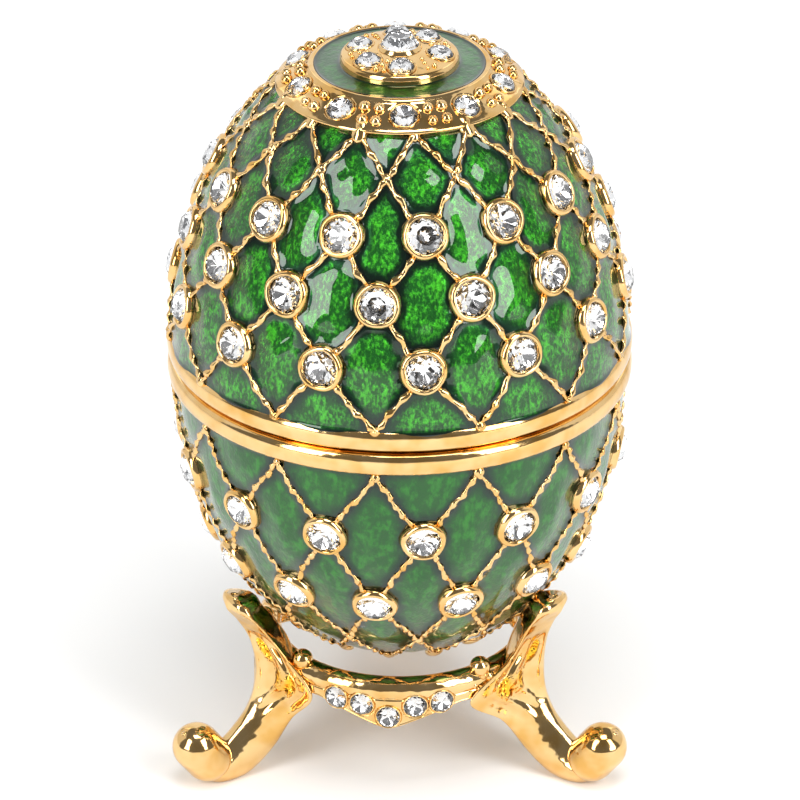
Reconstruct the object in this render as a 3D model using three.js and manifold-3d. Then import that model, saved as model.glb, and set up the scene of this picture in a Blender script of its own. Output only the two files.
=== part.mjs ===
// Jewelled egg trinket box: an egg in two cast halves, enamelled green between gold lattice wires,
// on a gold plated stand with three legs. Millimetres, +Z up, the front towards -Y.
// Heights in the first block are measured from the seam between the two halves, where the egg is widest.
// An angle of 0 degrees is the front, and angles grow towards +X.

import * as THREE from 'three';
import { mergeVertices } from 'three/addons/utils/BufferGeometryUtils.js';
import Module from 'manifold-3d';

const wasm = await Module();
wasm.setup();

// The egg's outside: radius and height of each half, and how square its curve is
const LID = { radius: 22.6, height: 31.43, across: 2.35, along: 1.69 };
const BOWL = { radius: 22.24, height: 32.45, across: 2.31, along: 2.1 };
const WALL = 1.35;
const CROWN_THICKNESS = 2.2;
const BOWL_FLOOR = 29.5;
const HOLLOW_STEPS = 6;

// Lattice: crossings round the egg, and the wires that run between them
const CROSSINGS = 14;
const HALF_STEP = 180 / CROSSINGS;
const LATTICE_TURN = 6.9;
const WIRE_HEIGHT = 0.5;
const WIRE_FOOT = 0.16;
const HALF_CELL_FOOT = 0.26;

// Rows of crossings from the rim to the pole. The lattice was modelled by hand: some rows are turned by a
// degree or so, and some lean, higher on the +X side than on the other
const LID_ROWS = [
  { height: 1.75, turn: 0, lean: 0, stones: false },
  { height: 7.7, turn: -1, lean: 0.5, stones: true },
  { height: 13.9, turn: 0, lean: 0.5, stones: true },
  { height: 19.7, turn: 0.9, lean: 0.5, stones: true },
  { height: 24.4, turn: 1.2, lean: 0, stones: false },
  { height: 27.6, turn: 0, lean: 0, stones: false },
];
const BOWL_ROWS = [
  { height: 3.4, turn: 0, lean: 0, stones: false },
  { height: 10.7, turn: -0.8, lean: 0, stones: true },
  { height: 19.3, turn: -1.5, lean: 0, stones: true },
  { height: 25.4, turn: 0, lean: 0, stones: false },
  { height: 29.9, turn: 0, lean: 0, stones: false },
];

// Rim bands and the inner collar that guides the lid
const RIM_RADIUS = 22.95;
const RIM_EDGE = 22.7;
const RIM_SHOULDER = 22.75;
const SEAM_RADIUS = 22.3;
const LID_BAND = { start: -0.1, middle: 0.7, end: 1.5 };
const BOWL_BAND = { start: 1.15, middle: 2.1, end: 2.95 };
const LID_FOOT = -0.45;
const BOWL_TOP = -0.75;
const COLLAR = { outside: 20.95, inside: 20.2, top: 1.8 };
const COLLAR_PLAY = 0.3;

// Gold top: sloping ring, enamel channel and domed disc
const TOP_RING = { outside: 12.0, foot: 27.95, inside: 8.45, top: 29.95 };
const CHANNEL = { outside: 8.05, inside: 5.9, floor: 29.65 };
const DISC = { radius: 5.65, edge: 30.65, shoulder: 4.2, rise: 31.15, crest: 1.9, top: 31.5 };

// Flat gold boss under the bowl
const BOSS = { outside: 7.6, foot: 31.4, radius: 3.2 };

// Round crystals: sides, and radius and height of bezel, girdle and table
const STONE_SIDES = 6;
const LATTICE_STONE = { bezel: 2.25, bezelTop: 0.65, table: 1.1, top: 1.5 };
const SMALL_STONE = { radius: 1.3, girdle: 0.35, table: 0.75, top: 0.85 };
const CENTRE_STONE = { radius: 1.87, girdle: 0.5, table: 1.2, top: 1.35 };
const SEAT_GAP = 0.05;
const CROWN_STONES = { radius: 4.0, angles: [2, 77, 138, 183, 253, 311] };
const RING_STONES = { count: 10, radius: 10.25, turn: 2.3 };
const SWAG_STONES = { spacing: 10.8, heights: [-33.45, -33.7, -34.9, -33.7, -33.45] };

// Stand: three legs, a ring that joins them and a pointed swag plate in each gap
const LEGS = 3;
const LEG_TURN = 60;
const FLOOR = -44.3;
const RING = { middle: 13.25, thickness: 1.25, top: -31.0 };
const RING_ROLL = { start: -20, span: 220, points: 6 };
const PLATE = { outside: 14.35, inside: 12.7, outerTop: -32.9, innerTop: -33.1 };
const SWAG = { turn: -4.6, reach: 30, low: -36.7, high: -34.2, power: 1.2 };
const RING_STEPS = 30;
const BALL = { out: 23.5, height: -39.9, radius: 2.45, sides: 8, rows: 6 };
const FLUTE_DEPTH = 0.35;
const FLUTE_LIMIT = 0.25;
const LEG_STEPS = 14;
const CUTTER = { width: 80, depth: 10 };

// Three rails of one leg, as [out from the egg's axis, sideways, height]: the prow that faces outwards,
// the edge of the wing beside it, and the inner side. They run from the tip that holds the egg to the toe.
const PROW_RAIL = [
  [18.4, 0, -23.2], [19.5, 0, -24.3], [18.5, 0, -26.4], [17.2, 0, -29.3], [16.7, 0, -33.0],
  [17.1, 0, -35.7], [18.1, 0, -37.9], [20.2, 0, -40.0], [22.0, 0, -41.3], [23.6, 0, -41.2],
];
const WING_RAIL = [
  [17.5, 1.3, -23.3], [17.6, 2.0, -24.4], [15.8, 2.5, -27.0], [14.0, 3.4, -30.4], [12.9, 7.1, -34.2],
  [14.4, 4.1, -37.5], [16.2, 2.4, -40.8], [18.9, 1.9, -42.6], [21.6, 1.9, -42.9], [24.1, 1.4, -41.9],
];
const INNER_RAIL = [
  [17.0, 0, -23.5], [16.7, 0, -24.8], [14.9, 0, -27.4], [12.6, 0, -30.6], [12.3, 0, -34.2],
  [13.3, 0, -38.2], [15.3, 0, -41.6], [18.3, 0, -44.5], [21.3, 0, -44.7], [24.3, 0, -42.8],
];

// The swags sit a little turned against the feet, and the legs' tips and wings follow them
const TIP_TWIST = { share: 0.8, low: -33, high: -24 };
const WING_REACH = 7.1;

const GOLD = { color: 0xe3b458, roughness: 0.18, metalness: 1 };
const ENAMEL = { color: 0x0d5c2c, roughness: 0.1, metalness: 0.2 };
const CRYSTAL = { color: 0xf2f4f6, roughness: 0.02, metalness: 0, transparent: true, opacity: 0.4 };

// Points and solids

// The point at a distance from the egg's axis, at an angle and a height
function around(radius, degrees, height) {
  const angle = THREE.MathUtils.degToRad(degrees);
  return new THREE.Vector3(radius * Math.sin(angle), -radius * Math.cos(angle), height);
}

// Six times the volume inside a triangle mesh, below zero where its faces point inwards
function signedVolume(positions, indices) {
  const [a, b, c] = [new THREE.Vector3(), new THREE.Vector3(), new THREE.Vector3()];
  let total = 0;
  for (let i = 0; i < indices.length; i += 3) {
    a.fromArray(positions, 3 * indices[i]);
    b.fromArray(positions, 3 * indices[i + 1]);
    c.fromArray(positions, 3 * indices[i + 2]);
    total += a.dot(b.cross(c));
  }
  return total;
}

// A closed geometry as a solid, turned right side out
function solid(geometry) {
  const bare = geometry.clone();
  bare.deleteAttribute('normal');
  bare.deleteAttribute('uv');
  const welded = mergeVertices(bare, 1e-5);
  const vertProperties = Float32Array.from(welded.attributes.position.array);
  const triangles = Array.from(welded.index.array);
  const triVerts = [];
  for (let i = 0; i < triangles.length; i += 3) {
    const [a, b, c] = triangles.slice(i, i + 3);
    if (a !== b && b !== c && c !== a) triVerts.push(a, b, c);
  }
  if (signedVolume(vertProperties, triVerts) < 0) triVerts.reverse();
  const mesh = new wasm.Mesh({ numProp: 3, vertProperties, triVerts: Uint32Array.from(triVerts) });
  return new wasm.Manifold(mesh);
}

function union(solids) {
  return solids.reduce((whole, next) => whole.add(next));
}

function geometryOf(body) {
  const mesh = body.getMesh();
  const geometry = new THREE.BufferGeometry();
  geometry.setAttribute('position', new THREE.BufferAttribute(mesh.vertProperties, 3));
  geometry.setIndex(new THREE.BufferAttribute(mesh.triVerts, 1));
  return geometry;
}

function geometryFrom(points, faces) {
  const geometry = new THREE.BufferGeometry().setFromPoints(points);
  geometry.setIndex(faces.flat());
  return geometry;
}

// A profile of [radius, height] turned about the egg's axis
function turned(profile, sides, startDegrees) {
  const points = profile.map(([radius, height]) => new THREE.Vector2(radius, height));
  const start = THREE.MathUtils.degToRad(startDegrees);
  return new THREE.LatheGeometry(points, sides, start).rotateX(Math.PI / 2);
}

// Rings of equally many points, joined one to the next and closed by a fan at both ends
function loft(rings) {
  const sides = rings[0].length;
  const points = rings.flat();
  const faces = [];
  for (let ring = 0; ring + 1 < rings.length; ring += 1) {
    for (let side = 0; side < sides; side += 1) {
      const next = (side + 1) % sides;
      const [a, b] = [ring * sides + side, ring * sides + next];
      faces.push([a, b, b + sides], [a, b + sides, a + sides]);
    }
  }
  const last = (rings.length - 1) * sides;
  for (let side = 1; side + 1 < sides; side += 1) {
    faces.push([0, side + 1, side], [last, last + side, last + side + 1]);
  }
  return geometryFrom(points, faces);
}

// The egg's shell

// Radius of a half at a height above or below the seam
function eggRadius(half, height) {
  const share = Math.min(1, Math.abs(height) / half.height);
  return half.radius * (1 - share ** half.along) ** (1 / half.across);
}

// Outward direction of a half's surface, as [radial, vertical], with heights counted away from the seam
function eggNormal(half, height) {
  const step = 0.01;
  const slope = (eggRadius(half, height + step) - eggRadius(half, height - step)) / (2 * step);
  const length = Math.hypot(1, slope);
  return [1 / length, -slope / length];
}

// The eight ways out of a crossing, as [half steps round, rows along]: the straight ways cross enamel,
// the slanting ones follow a wire
const WAYS = [[1, 0], [1, 1], [0, 1], [-1, 1], [-1, 0], [-1, -1], [0, -1], [1, -1]];

// One half as a solid body: rim rows, the lattice with its sunk enamel cells, and rows that close the end.
// Wires run from crossing to crossing, one row and one half step on. A crossing is a point on the wires'
// crest, or on the rows that carry crystals a bezel with its cut stone.
function latticeBody(half, rows, upward, rimRows, endRows) {
  const points = [];
  const faces = [];
  const steps = 2 * CROSSINGS;
  const last = rows.length - 1;
  const angleOf = (step) => LATTICE_TURN + step * HALF_STEP;
  const add = (point) => points.push(point) - 1;
  const crossing = (row, step) => {
    const { height, turn, lean } = rows[row];
    const angle = angleOf(step) + turn;
    return { angle, height: height + lean * Math.sin(THREE.MathUtils.degToRad(angle)) };
  };
  const onTheWay = (from, to, share) => ({
    angle: THREE.MathUtils.lerp(from.angle, to.angle, share),
    height: THREE.MathUtils.lerp(from.height, to.height, share),
  });
  const eggPoint = ({ angle, height }, lift = 0) => (
    around(eggRadius(half, height) + lift, angle, height * upward));
  const addLoop = ([radius, height]) => Array.from({ length: steps }, (_, step) => (
    add(around(radius, angleOf(step), height * upward))));
  const quad = (a, b, c, d) => faces.push([a, b, c], [a, c, d]);
  const join = (low, high) => low.forEach((_, side) => {
    const next = (side + 1) % low.length;
    quad(low[side], low[next], high[next], high[side]);
  });
  const cap = (loop) => loop.slice(2).forEach((point, side) => faces.push([loop[0], loop[side + 1], point]));

  // A bezel and its crystal: the foot follows wires and enamel, the rest is round
  const addStone = (row, step) => {
    const place = crossing(row, step);
    const seat = eggPoint(place);
    const [radial, vertical] = eggNormal(half, place.height);
    const normal = around(radial, place.angle, vertical * upward);
    const foot = WAYS.map(([round, along]) => {
      const aim = crossing(row + along, step + round);
      const share = LATTICE_STONE.bezel / seat.distanceTo(eggPoint(aim));
      return eggPoint(onTheWay(place, aim, share), round * along === 0 ? 0 : WIRE_HEIGHT);
    });
    const level = (radius, height) => foot.map((point) => {
      const out = point.clone().sub(seat).projectOnPlane(normal).setLength(radius);
      return add(out.add(seat).addScaledVector(normal, height));
    });
    const loops = [
      foot.map(add),
      level(LATTICE_STONE.bezel, LATTICE_STONE.bezelTop),
      level(LATTICE_STONE.table, LATTICE_STONE.top),
    ];
    join(loops[0], loops[1]);
    join(loops[1], loops[2]);
    cap(loops[2]);
    return loops[0];
  };

  // Crossings: every half step on the rows at the two ends, every other one in between
  const crossings = rows.map(({ height, stones }, row) => Array.from({ length: steps }, (_, step) => {
    if (row === 0) return add(around(RIM_EDGE, angleOf(step), height * upward));
    if (row < last && step % 2 !== (row + 1) % 2) return null;
    return stones ? addStone(row, step) : add(eggPoint(crossing(row, step), WIRE_HEIGHT));
  }));

  // Cells: from each corner the enamel starts at the foot of the wires, or at the bezel
  const cellCorners = [[-1, 0], [0, -1], [1, 0], [0, 1]];
  for (let row = 0; row <= last; row += 1) {
    for (let step = row % 2; step < steps; step += 2) {
      const whole = row > 0 && row < last;
      const corners = cellCorners.map(([round, along]) => {
        const cornerRow = Math.min(last, Math.max(0, row + along));
        const at = crossings[cornerRow][(step + round + steps) % steps];
        return { round, along, place: crossing(cornerRow, step + round), at };
      });
      const mean = (key) => corners.reduce((sum, { place }) => sum + place[key], 0) / corners.length;
      const middle = { angle: mean('angle'), height: mean('height') };
      const foot = whole ? WIRE_FOOT : HALF_CELL_FOOT;
      const ring = (corner, round, along) => (
        corner.at[WAYS.findIndex(([a, b]) => a === round && b === along)]);
      const inner = corners.map((corner) => {
        if (Array.isArray(corner.at)) return ring(corner, -corner.round, -corner.along);
        return add(eggPoint(onTheWay(corner.place, middle, foot)));
      });
      const wireEnd = (corner, other) => (Array.isArray(corner.at)
        ? ring(corner, other.round - corner.round, other.along - corner.along) : corner.at);
      const centre = add(eggPoint(middle));
      corners.forEach((corner, i) => {
        const next = (i + 1) % 4;
        quad(wireEnd(corner, corners[next]), wireEnd(corners[next], corner), inner[next], inner[i]);
        faces.push([inner[i], inner[next], centre]);
      });
    }
  }

  // Both ends are closed by flat faces
  const rimLoops = rimRows.map(addLoop);
  const endLoops = endRows.map(addLoop);
  const between = (loops) => loops.slice(1).forEach((loop, i) => join(loops[i], loop));
  between([...rimLoops, crossings[0]]);
  between([crossings[last], ...endLoops]);
  cap(rimLoops[0].toReversed());
  cap(endLoops[endLoops.length - 1]);
  return solid(geometryFrom(points, faces));
}

// The hollow of a half: the egg's own curve, one wall further in
function hollowProfile(half, depth, floor) {
  const profile = [];
  for (let i = 0; i <= HOLLOW_STEPS; i += 1) {
    const along = (i / HOLLOW_STEPS) * (Math.PI / 2);
    const radius = (half.radius - WALL) * Math.cos(along) ** (2 / half.across);
    const height = depth * Math.sin(along) ** (2 / half.along);
    if (height < floor) profile.push([radius, height]);
  }
  const floorRadius = (half.radius - WALL) * (1 - (floor / depth) ** half.along) ** (1 / half.across);
  return floor < depth ? [...profile, [floorRadius, floor], [0, floor]] : [...profile, [0, depth]];
}

// Crystals

// Stands a geometry that was made along +Z on a surface point, along that surface's outward direction
function standOn(geometry, point, direction) {
  const up = new THREE.Vector3(0, 0, 1);
  const turn = new THREE.Quaternion().setFromUnitVectors(up, direction.clone().normalize());
  return geometry.clone().applyQuaternion(turn).translate(point.x, point.y, point.z);
}

// A cut stone with a flat back, a little clear of its seat
function looseStone(stone) {
  const profile = [
    [0, SEAT_GAP], [stone.radius, SEAT_GAP], [stone.radius, stone.girdle],
    [stone.table, stone.top], [0, stone.top],
  ];
  return turned(profile, STONE_SIDES, 0);
}

// Lid and bowl

function lidShape() {
  const { start, middle: belly, end } = LID_BAND;
  const rimRows = [[SEAM_RADIUS, LID_FOOT], [RIM_SHOULDER, start], [RIM_RADIUS, belly], [RIM_SHOULDER, end]];
  const endRows = [
    [TOP_RING.outside, TOP_RING.foot], [TOP_RING.inside, TOP_RING.top],
    [CHANNEL.outside, CHANNEL.floor], [CHANNEL.inside, CHANNEL.floor],
    [DISC.radius, DISC.edge], [DISC.shoulder, DISC.rise], [DISC.crest, DISC.top],
  ];
  const body = latticeBody(LID, LID_ROWS, 1, rimRows, endRows);
  const hollow = hollowProfile(LID, LID.height - CROWN_THICKNESS, Infinity);
  const mouth = COLLAR.outside + COLLAR_PLAY;
  const cutter = [[0, LID_FOOT - 1], [mouth, LID_FOOT - 1], [mouth, COLLAR.top + 1], ...hollow.slice(1)];
  const cavity = solid(turned(cutter, 2 * CROSSINGS, LATTICE_TURN));
  return body.subtract(cavity);
}

function bowlShape() {
  const { start, middle: belly, end } = BOWL_BAND;
  const rimRows = [
    [COLLAR.outside, -COLLAR.top], [COLLAR.outside, -BOWL_TOP], [SEAM_RADIUS, -BOWL_TOP],
    [RIM_SHOULDER, start], [RIM_RADIUS, belly], [RIM_SHOULDER, end],
  ];
  const endRows = [[BOSS.outside, BOSS.foot], [BOSS.radius, BOWL.height]];
  const body = latticeBody(BOWL, BOWL_ROWS, -1, rimRows, endRows);
  const hollow = hollowProfile(BOWL, BOWL.height - WALL, BOWL_FLOOR).slice(1);
  const throat = [
    [0, COLLAR.top + 1], [COLLAR.inside, COLLAR.top + 1], [COLLAR.inside, BOWL_TOP - 1],
    [BOWL.radius - WALL, BOWL_TOP - 2],
  ];
  const cutter = [...throat, ...hollow.map(([radius, depth]) => [radius, -depth])];
  const cavity = solid(turned(cutter, 2 * CROSSINGS, LATTICE_TURN));
  return body.subtract(cavity);
}

// Stand

// Lower edge of the swag plate, at an angle from the middle of its gap: it hangs to a point in the middle
function swagEdge(degrees) {
  const share = Math.max(0, 1 - Math.abs(degrees) / SWAG.reach);
  return SWAG.high + (SWAG.low - SWAG.high) * share ** SWAG.power;
}

// Ring and swag plates as one closed band: a round moulding above, the plate hanging from it
function ringShape() {
  const sections = [];
  for (let step = 0; step < RING_STEPS; step += 1) {
    const angle = SWAG.turn + (step * 360) / RING_STEPS;
    const gap = 360 / LEGS;
    const low = swagEdge(THREE.MathUtils.euclideanModulo(angle - SWAG.turn + gap / 2, gap) - gap / 2);
    const roll = Array.from({ length: RING_ROLL.points }, (_, side) => {
      const degrees = RING_ROLL.start + (side * RING_ROLL.span) / (RING_ROLL.points - 1);
      const turn = THREE.MathUtils.degToRad(degrees);
      const height = RING.top + RING.thickness * (Math.sin(turn) - 1);
      return [RING.middle + RING.thickness * Math.cos(turn), height];
    });
    const plate = [
      [PLATE.inside, PLATE.innerTop], [PLATE.inside, low],
      [PLATE.outside, low], [PLATE.outside, PLATE.outerTop],
    ];
    sections.push([...roll, ...plate].map(([radius, height]) => around(radius, angle, height)));
  }
  const sides = sections[0].length;
  const faces = [];
  for (let step = 0; step < RING_STEPS; step += 1) {
    const nextStep = (step + 1) % RING_STEPS;
    for (let side = 0; side < sides; side += 1) {
      const next = (side + 1) % sides;
      const [a, b] = [step * sides + side, step * sides + next];
      const [c, d] = [nextStep * sides + next, nextStep * sides + side];
      faces.push([a, b, c], [a, c, d]);
    }
  }
  return solid(geometryFrom(sections.flat(), faces));
}

// One leg, stretched over its three rails, with a hollow flute down each flank
function legShape(degrees) {
  const curve = (rail) => (
    new THREE.CatmullRomCurve3(rail.map((point) => new THREE.Vector3(...point)), false, 'centripetal'));
  const [prow, wing, inner] = [PROW_RAIL, WING_RAIL, INNER_RAIL].map(curve);
  const outwards = around(1, degrees, 0);
  const sideways = around(1, degrees + 90, 0);
  const up = new THREE.Vector3(0, 0, 1);
  const twist = (point) => {
    const tip = TIP_TWIST.share * THREE.MathUtils.smoothstep(point.z, TIP_TWIST.low, TIP_TWIST.high);
    return THREE.MathUtils.degToRad(SWAG.turn * Math.max(tip, Math.min(1, point.y / WING_REACH) ** 2));
  };
  const place = (point, side) => outwards.clone().multiplyScalar(point.x)
    .addScaledVector(sideways, side * point.y).setZ(point.z).applyAxisAngle(up, twist(point));
  const rings = [];
  for (let step = 0; step <= LEG_STEPS; step += 1) {
    const [front, edge, back] = [prow, wing, inner].map((rail) => rail.getPoint(step / LEG_STEPS));
    const flute = front.clone().lerp(edge, 0.5);
    flute.lerp(back, Math.min(FLUTE_LIMIT, FLUTE_DEPTH / flute.distanceTo(back)));
    const hip = edge.clone().lerp(back, 0.5);
    const half = [flute, edge, hip];
    rings.push([
      place(front, 1), ...half.map((point) => place(point, 1)),
      place(back, 1), ...half.reverse().map((point) => place(point, -1)),
    ]);
  }
  const centre = around(BALL.out, degrees, BALL.height);
  const ball = new THREE.SphereGeometry(BALL.radius, BALL.sides, BALL.rows).rotateX(Math.PI / 2);
  return solid(loft(rings)).add(solid(ball.translate(centre.x, centre.y, centre.z)));
}

// The whole stand, cut level below so that each foot has a flat sole
function standShape() {
  const legs = Array.from({ length: LEGS }, (_, leg) => legShape(LEG_TURN + (leg * 360) / LEGS));
  const below = new THREE.BoxGeometry(CUTTER.width, CUTTER.width, CUTTER.depth);
  below.translate(0, 0, FLOOR - CUTTER.depth / 2);
  return union([ringShape(), ...legs]).subtract(solid(below));
}

// Assembly

const egg = new THREE.Group();

function addPiece(name, geometry, finish) {
  const piece = new THREE.Mesh(geometry, new THREE.MeshStandardMaterial(finish));
  piece.name = name;
  egg.add(piece);
}

addPiece('stand', geometryOf(standShape()), GOLD);
addPiece('bowl', geometryOf(bowlShape()), ENAMEL);
addPiece('lid', geometryOf(lidShape()), ENAMEL);

// Crystals of the top disc: one in the middle, six round it, leaning with the dome
const discTop = around(0, 0, DISC.top);
addPiece('crown_stone_0', standOn(looseStone(CENTRE_STONE), discTop, around(0, 0, 1)), CRYSTAL);
const crownLean = Math.atan2(DISC.top - DISC.rise, DISC.shoulder - DISC.crest);
CROWN_STONES.angles.forEach((angle, i) => {
  const height = DISC.rise + (DISC.shoulder - CROWN_STONES.radius) * Math.tan(crownLean);
  const seat = around(CROWN_STONES.radius, angle, height);
  const direction = around(Math.sin(crownLean), angle, Math.cos(crownLean));
  addPiece(`crown_stone_${i + 1}`, standOn(looseStone(SMALL_STONE), seat, direction), CRYSTAL);
});

// Crystals of the sloping top ring
const ringRise = TOP_RING.top - TOP_RING.foot;
const ringRun = TOP_RING.outside - TOP_RING.inside;
for (let i = 0; i < RING_STONES.count; i += 1) {
  const angle = RING_STONES.turn + (i * 360) / RING_STONES.count;
  const height = TOP_RING.top - (ringRise * (RING_STONES.radius - TOP_RING.inside)) / ringRun;
  const seat = around(RING_STONES.radius, angle, height);
  const direction = around(ringRise, angle, ringRun);
  addPiece(`ring_stone_${i + 1}`, standOn(looseStone(SMALL_STONE), seat, direction), CRYSTAL);
}

// Crystals of the swag plates, five in each, the middle one low in the point
for (let swag = 0; swag < LEGS; swag += 1) {
  SWAG_STONES.heights.forEach((height, i) => {
    const angle = SWAG.turn + (swag * 360) / LEGS + (i - 2) * SWAG_STONES.spacing;
    const seat = around(PLATE.outside, angle, height);
    const name = `swag_stone_${swag + 1}_${i + 1}`;
    addPiece(name, standOn(looseStone(SMALL_STONE), seat, around(1, angle, 0)), CRYSTAL);
  });
}

// The origin is at the middle of the bounding box, on the floor
const box = new THREE.Box3().setFromObject(egg, true);
const middle = box.getCenter(new THREE.Vector3());
egg.position.set(-middle.x, -middle.y, -box.min.z);

export default egg;
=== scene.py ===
# %% [markdown]
# A jewelled egg trinket box on a gilt stand.
# The real box is cast in two halves that close on each other like an egg cup and its cover. Raised wires
# cross all over it, green enamel is fired into the cells between them, and a cut crystal sits at each
# crossing. Everything that isn't enamel or crystal is gold plated. The lid lifts off, and the egg rests
# in a stand with three legs.
# This file first loads the solid model as a fixed frame, and then makes the fine surface of each part
# round it. Sizes are in millimetres, measured from the egg's axis and from the seam between its halves.

# %% Load the fixed frame
import math

import bpy
import numpy as np
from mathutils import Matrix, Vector


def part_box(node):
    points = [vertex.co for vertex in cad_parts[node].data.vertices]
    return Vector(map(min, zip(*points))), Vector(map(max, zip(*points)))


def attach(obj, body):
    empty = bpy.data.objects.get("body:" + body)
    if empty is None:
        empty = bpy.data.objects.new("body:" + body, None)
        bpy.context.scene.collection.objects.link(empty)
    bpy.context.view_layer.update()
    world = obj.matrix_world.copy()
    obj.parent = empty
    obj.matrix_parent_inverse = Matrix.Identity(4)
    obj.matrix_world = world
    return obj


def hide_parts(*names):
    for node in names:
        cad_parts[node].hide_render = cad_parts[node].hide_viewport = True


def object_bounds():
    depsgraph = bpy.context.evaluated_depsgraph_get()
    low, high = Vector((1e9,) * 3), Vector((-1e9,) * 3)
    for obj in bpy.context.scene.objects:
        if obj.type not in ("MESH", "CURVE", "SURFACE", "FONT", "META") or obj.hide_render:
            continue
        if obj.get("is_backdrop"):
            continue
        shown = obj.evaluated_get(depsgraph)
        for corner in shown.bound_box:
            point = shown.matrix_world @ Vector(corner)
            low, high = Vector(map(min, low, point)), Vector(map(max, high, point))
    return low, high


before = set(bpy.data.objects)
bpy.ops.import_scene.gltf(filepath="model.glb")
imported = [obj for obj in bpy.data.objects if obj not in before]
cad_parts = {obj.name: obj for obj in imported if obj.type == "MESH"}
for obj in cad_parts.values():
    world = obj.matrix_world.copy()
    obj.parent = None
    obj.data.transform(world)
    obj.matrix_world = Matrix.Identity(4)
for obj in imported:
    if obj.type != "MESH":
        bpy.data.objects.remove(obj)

cad_low, cad_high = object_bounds()
MM = 0.001
print("nodes in the frame:", len(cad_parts))

# %% [markdown]
# The frame says where the egg stands. The middle crystal of the top sits on the egg's axis, and the lowest
# edge of the lid is a known step below the seam. All shapes below are worked out about that axis, with the
# seam at height zero, and one function puts them into the frame at the end.

# %% The egg's axis and seam
LID_FOOT = -0.45
crown_low, crown_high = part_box("crown_stone_0")
lid_low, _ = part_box("lid")
AXIS = (crown_low + crown_high) / 2 / MM
SEAM = lid_low.z / MM - LID_FOOT
ORIGIN = np.array([AXIS.x, AXIS.y, SEAM])
FLOOR = -SEAM
print(f"egg axis at {AXIS.x:.2f}, {AXIS.y:.2f} mm, seam {SEAM:.2f} mm above the floor")

# %% [markdown]
# The photograph looks down on the egg by 28 degrees from half a metre away, through a long lens, so there
# is little perspective. The camera goes in first, because everything after it is judged through it.

# %% Camera
CAMERA_ELEVATION = 28.05
CAMERA_DISTANCE = 503.8
AIM = (0.03, 0.0, -6.83)
FOCAL_PIXELS = 5075.5
FRAME_PIXELS = 800
SENSOR = 36.0
NEAREST, FARTHEST = 0.01, 20


def in_frame(points):
    """Points about the egg's axis and seam, in millimetres, as points of the frame, in metres."""
    return (np.asarray(points, float) + ORIGIN) * MM


def aim_at(thing, place, target):
    """Puts a camera or a light at a place and points its -Z axis at a target, both in millimetres."""
    start, end = in_frame([place, target])
    thing.location = start
    thing.rotation_euler = Vector(end - start).to_track_quat("-Z", "Y").to_euler()


lens = bpy.data.cameras.new("camera")
lens.sensor_width = SENSOR
lens.lens = FOCAL_PIXELS / FRAME_PIXELS * SENSOR
lens.clip_start, lens.clip_end = NEAREST, FARTHEST
camera = bpy.data.objects.new("camera", lens)
bpy.context.scene.collection.objects.link(camera)
tilt = math.radians(CAMERA_ELEVATION)
camera_place = np.array(AIM) + CAMERA_DISTANCE * np.array([0, -math.cos(tilt), math.sin(tilt)])
aim_at(camera, camera_place, AIM)
bpy.context.scene.camera = camera
print("camera height above the floor, mm:", round(camera_place[2] + SEAM, 1))

# %% [markdown]
# Every piece is a surface worked out as an array of points. A few helpers turn such arrays into closed
# meshes: a grid that wraps round in one direction and is closed by fans at its ends (a tube, or a shape
# turned on a lathe), and a grid that wraps both ways (a ring).

# %% Mesh helpers
def around(radius, degrees, height):
    """Points at a radius from the axis, an angle from the front towards +X, and a height above the seam."""
    radius, degrees, height = np.broadcast_arrays(radius, degrees, height)
    angle = np.radians(degrees)
    return np.stack([radius * np.sin(angle), -radius * np.cos(angle), height], axis=-1).astype(float)


def full_turn(count):
    """The angles of a full turn in even steps, in degrees."""
    return np.arange(count) * 360 / count


def soft_step(value, low, high):
    """0 below low, 1 above high, smooth between them."""
    share = np.clip((value - low) / (high - low), 0, 1)
    return share * share * (3 - 2 * share)


def grid_faces(rows, columns, wrap_rows):
    """The quads of a grid of points that wraps along its columns, and along its rows too if asked."""
    row, column = np.indices((rows if wrap_rows else rows - 1, columns))
    below, right = (row + 1) % rows, (column + 1) % columns
    corners = [(row, column), (row, right), (below, right), (below, column)]
    return np.stack([down * columns + across for down, across in corners], -1).reshape(-1, 4)


def volume(points, faces):
    """Volume inside a closed mesh: the sum over its triangles of a . (b x c) / 6."""
    total = 0.0
    for block in faces:
        for k in range(1, block.shape[1] - 1):
            a, b, c = points[block[:, 0]], points[block[:, k]], points[block[:, k + 1]]
            total += np.einsum("ij,ij->", a, np.cross(b, c)) / 6
    return total


def shell(points, *faces):
    """A closed mesh as its points and blocks of faces, turned so that the faces point outwards."""
    points = np.asarray(points, float).reshape(-1, 3)
    if volume(points - points.mean(0), faces) < 0:
        faces = [block[:, ::-1] for block in faces]
    return points, list(faces)


def closed_grid(grid):
    """A grid of points (rows, columns, 3) that wraps along its columns, with a fan over each end."""
    rows, columns, _ = grid.shape
    points = np.concatenate([grid.reshape(-1, 3), grid[:1].mean(1), grid[-1:].mean(1)])
    side = np.arange(columns)
    fans = []
    for line, centre in ((0, rows * columns), (rows - 1, rows * columns + 1)):
        first = line * columns
        fan = np.stack([first + side, first + (side + 1) % columns, np.full(columns, centre)], -1)
        fans.append(fan if line else fan[:, ::-1])
    return shell(points, grid_faces(rows, columns, False)[:, ::-1], *fans)


def ring_grid(grid):
    """A grid of points (rows, columns, 3) that wraps both ways, as on a ring."""
    return shell(grid, grid_faces(*grid.shape[:2], True))


print("mesh helpers are ready")

# %% [markdown]
# Small shapes repeat all over the box, so one shell can be stamped on many seats. A seat is a centre and
# three directions: sideways, upwards and outwards. Turned shapes come from a profile of [radius, height]
# points, whose corners can be rounded, and paths can be measured along their length.

# %% Stamping, turning and measuring
NEAR_AXIS = 0.02


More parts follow.
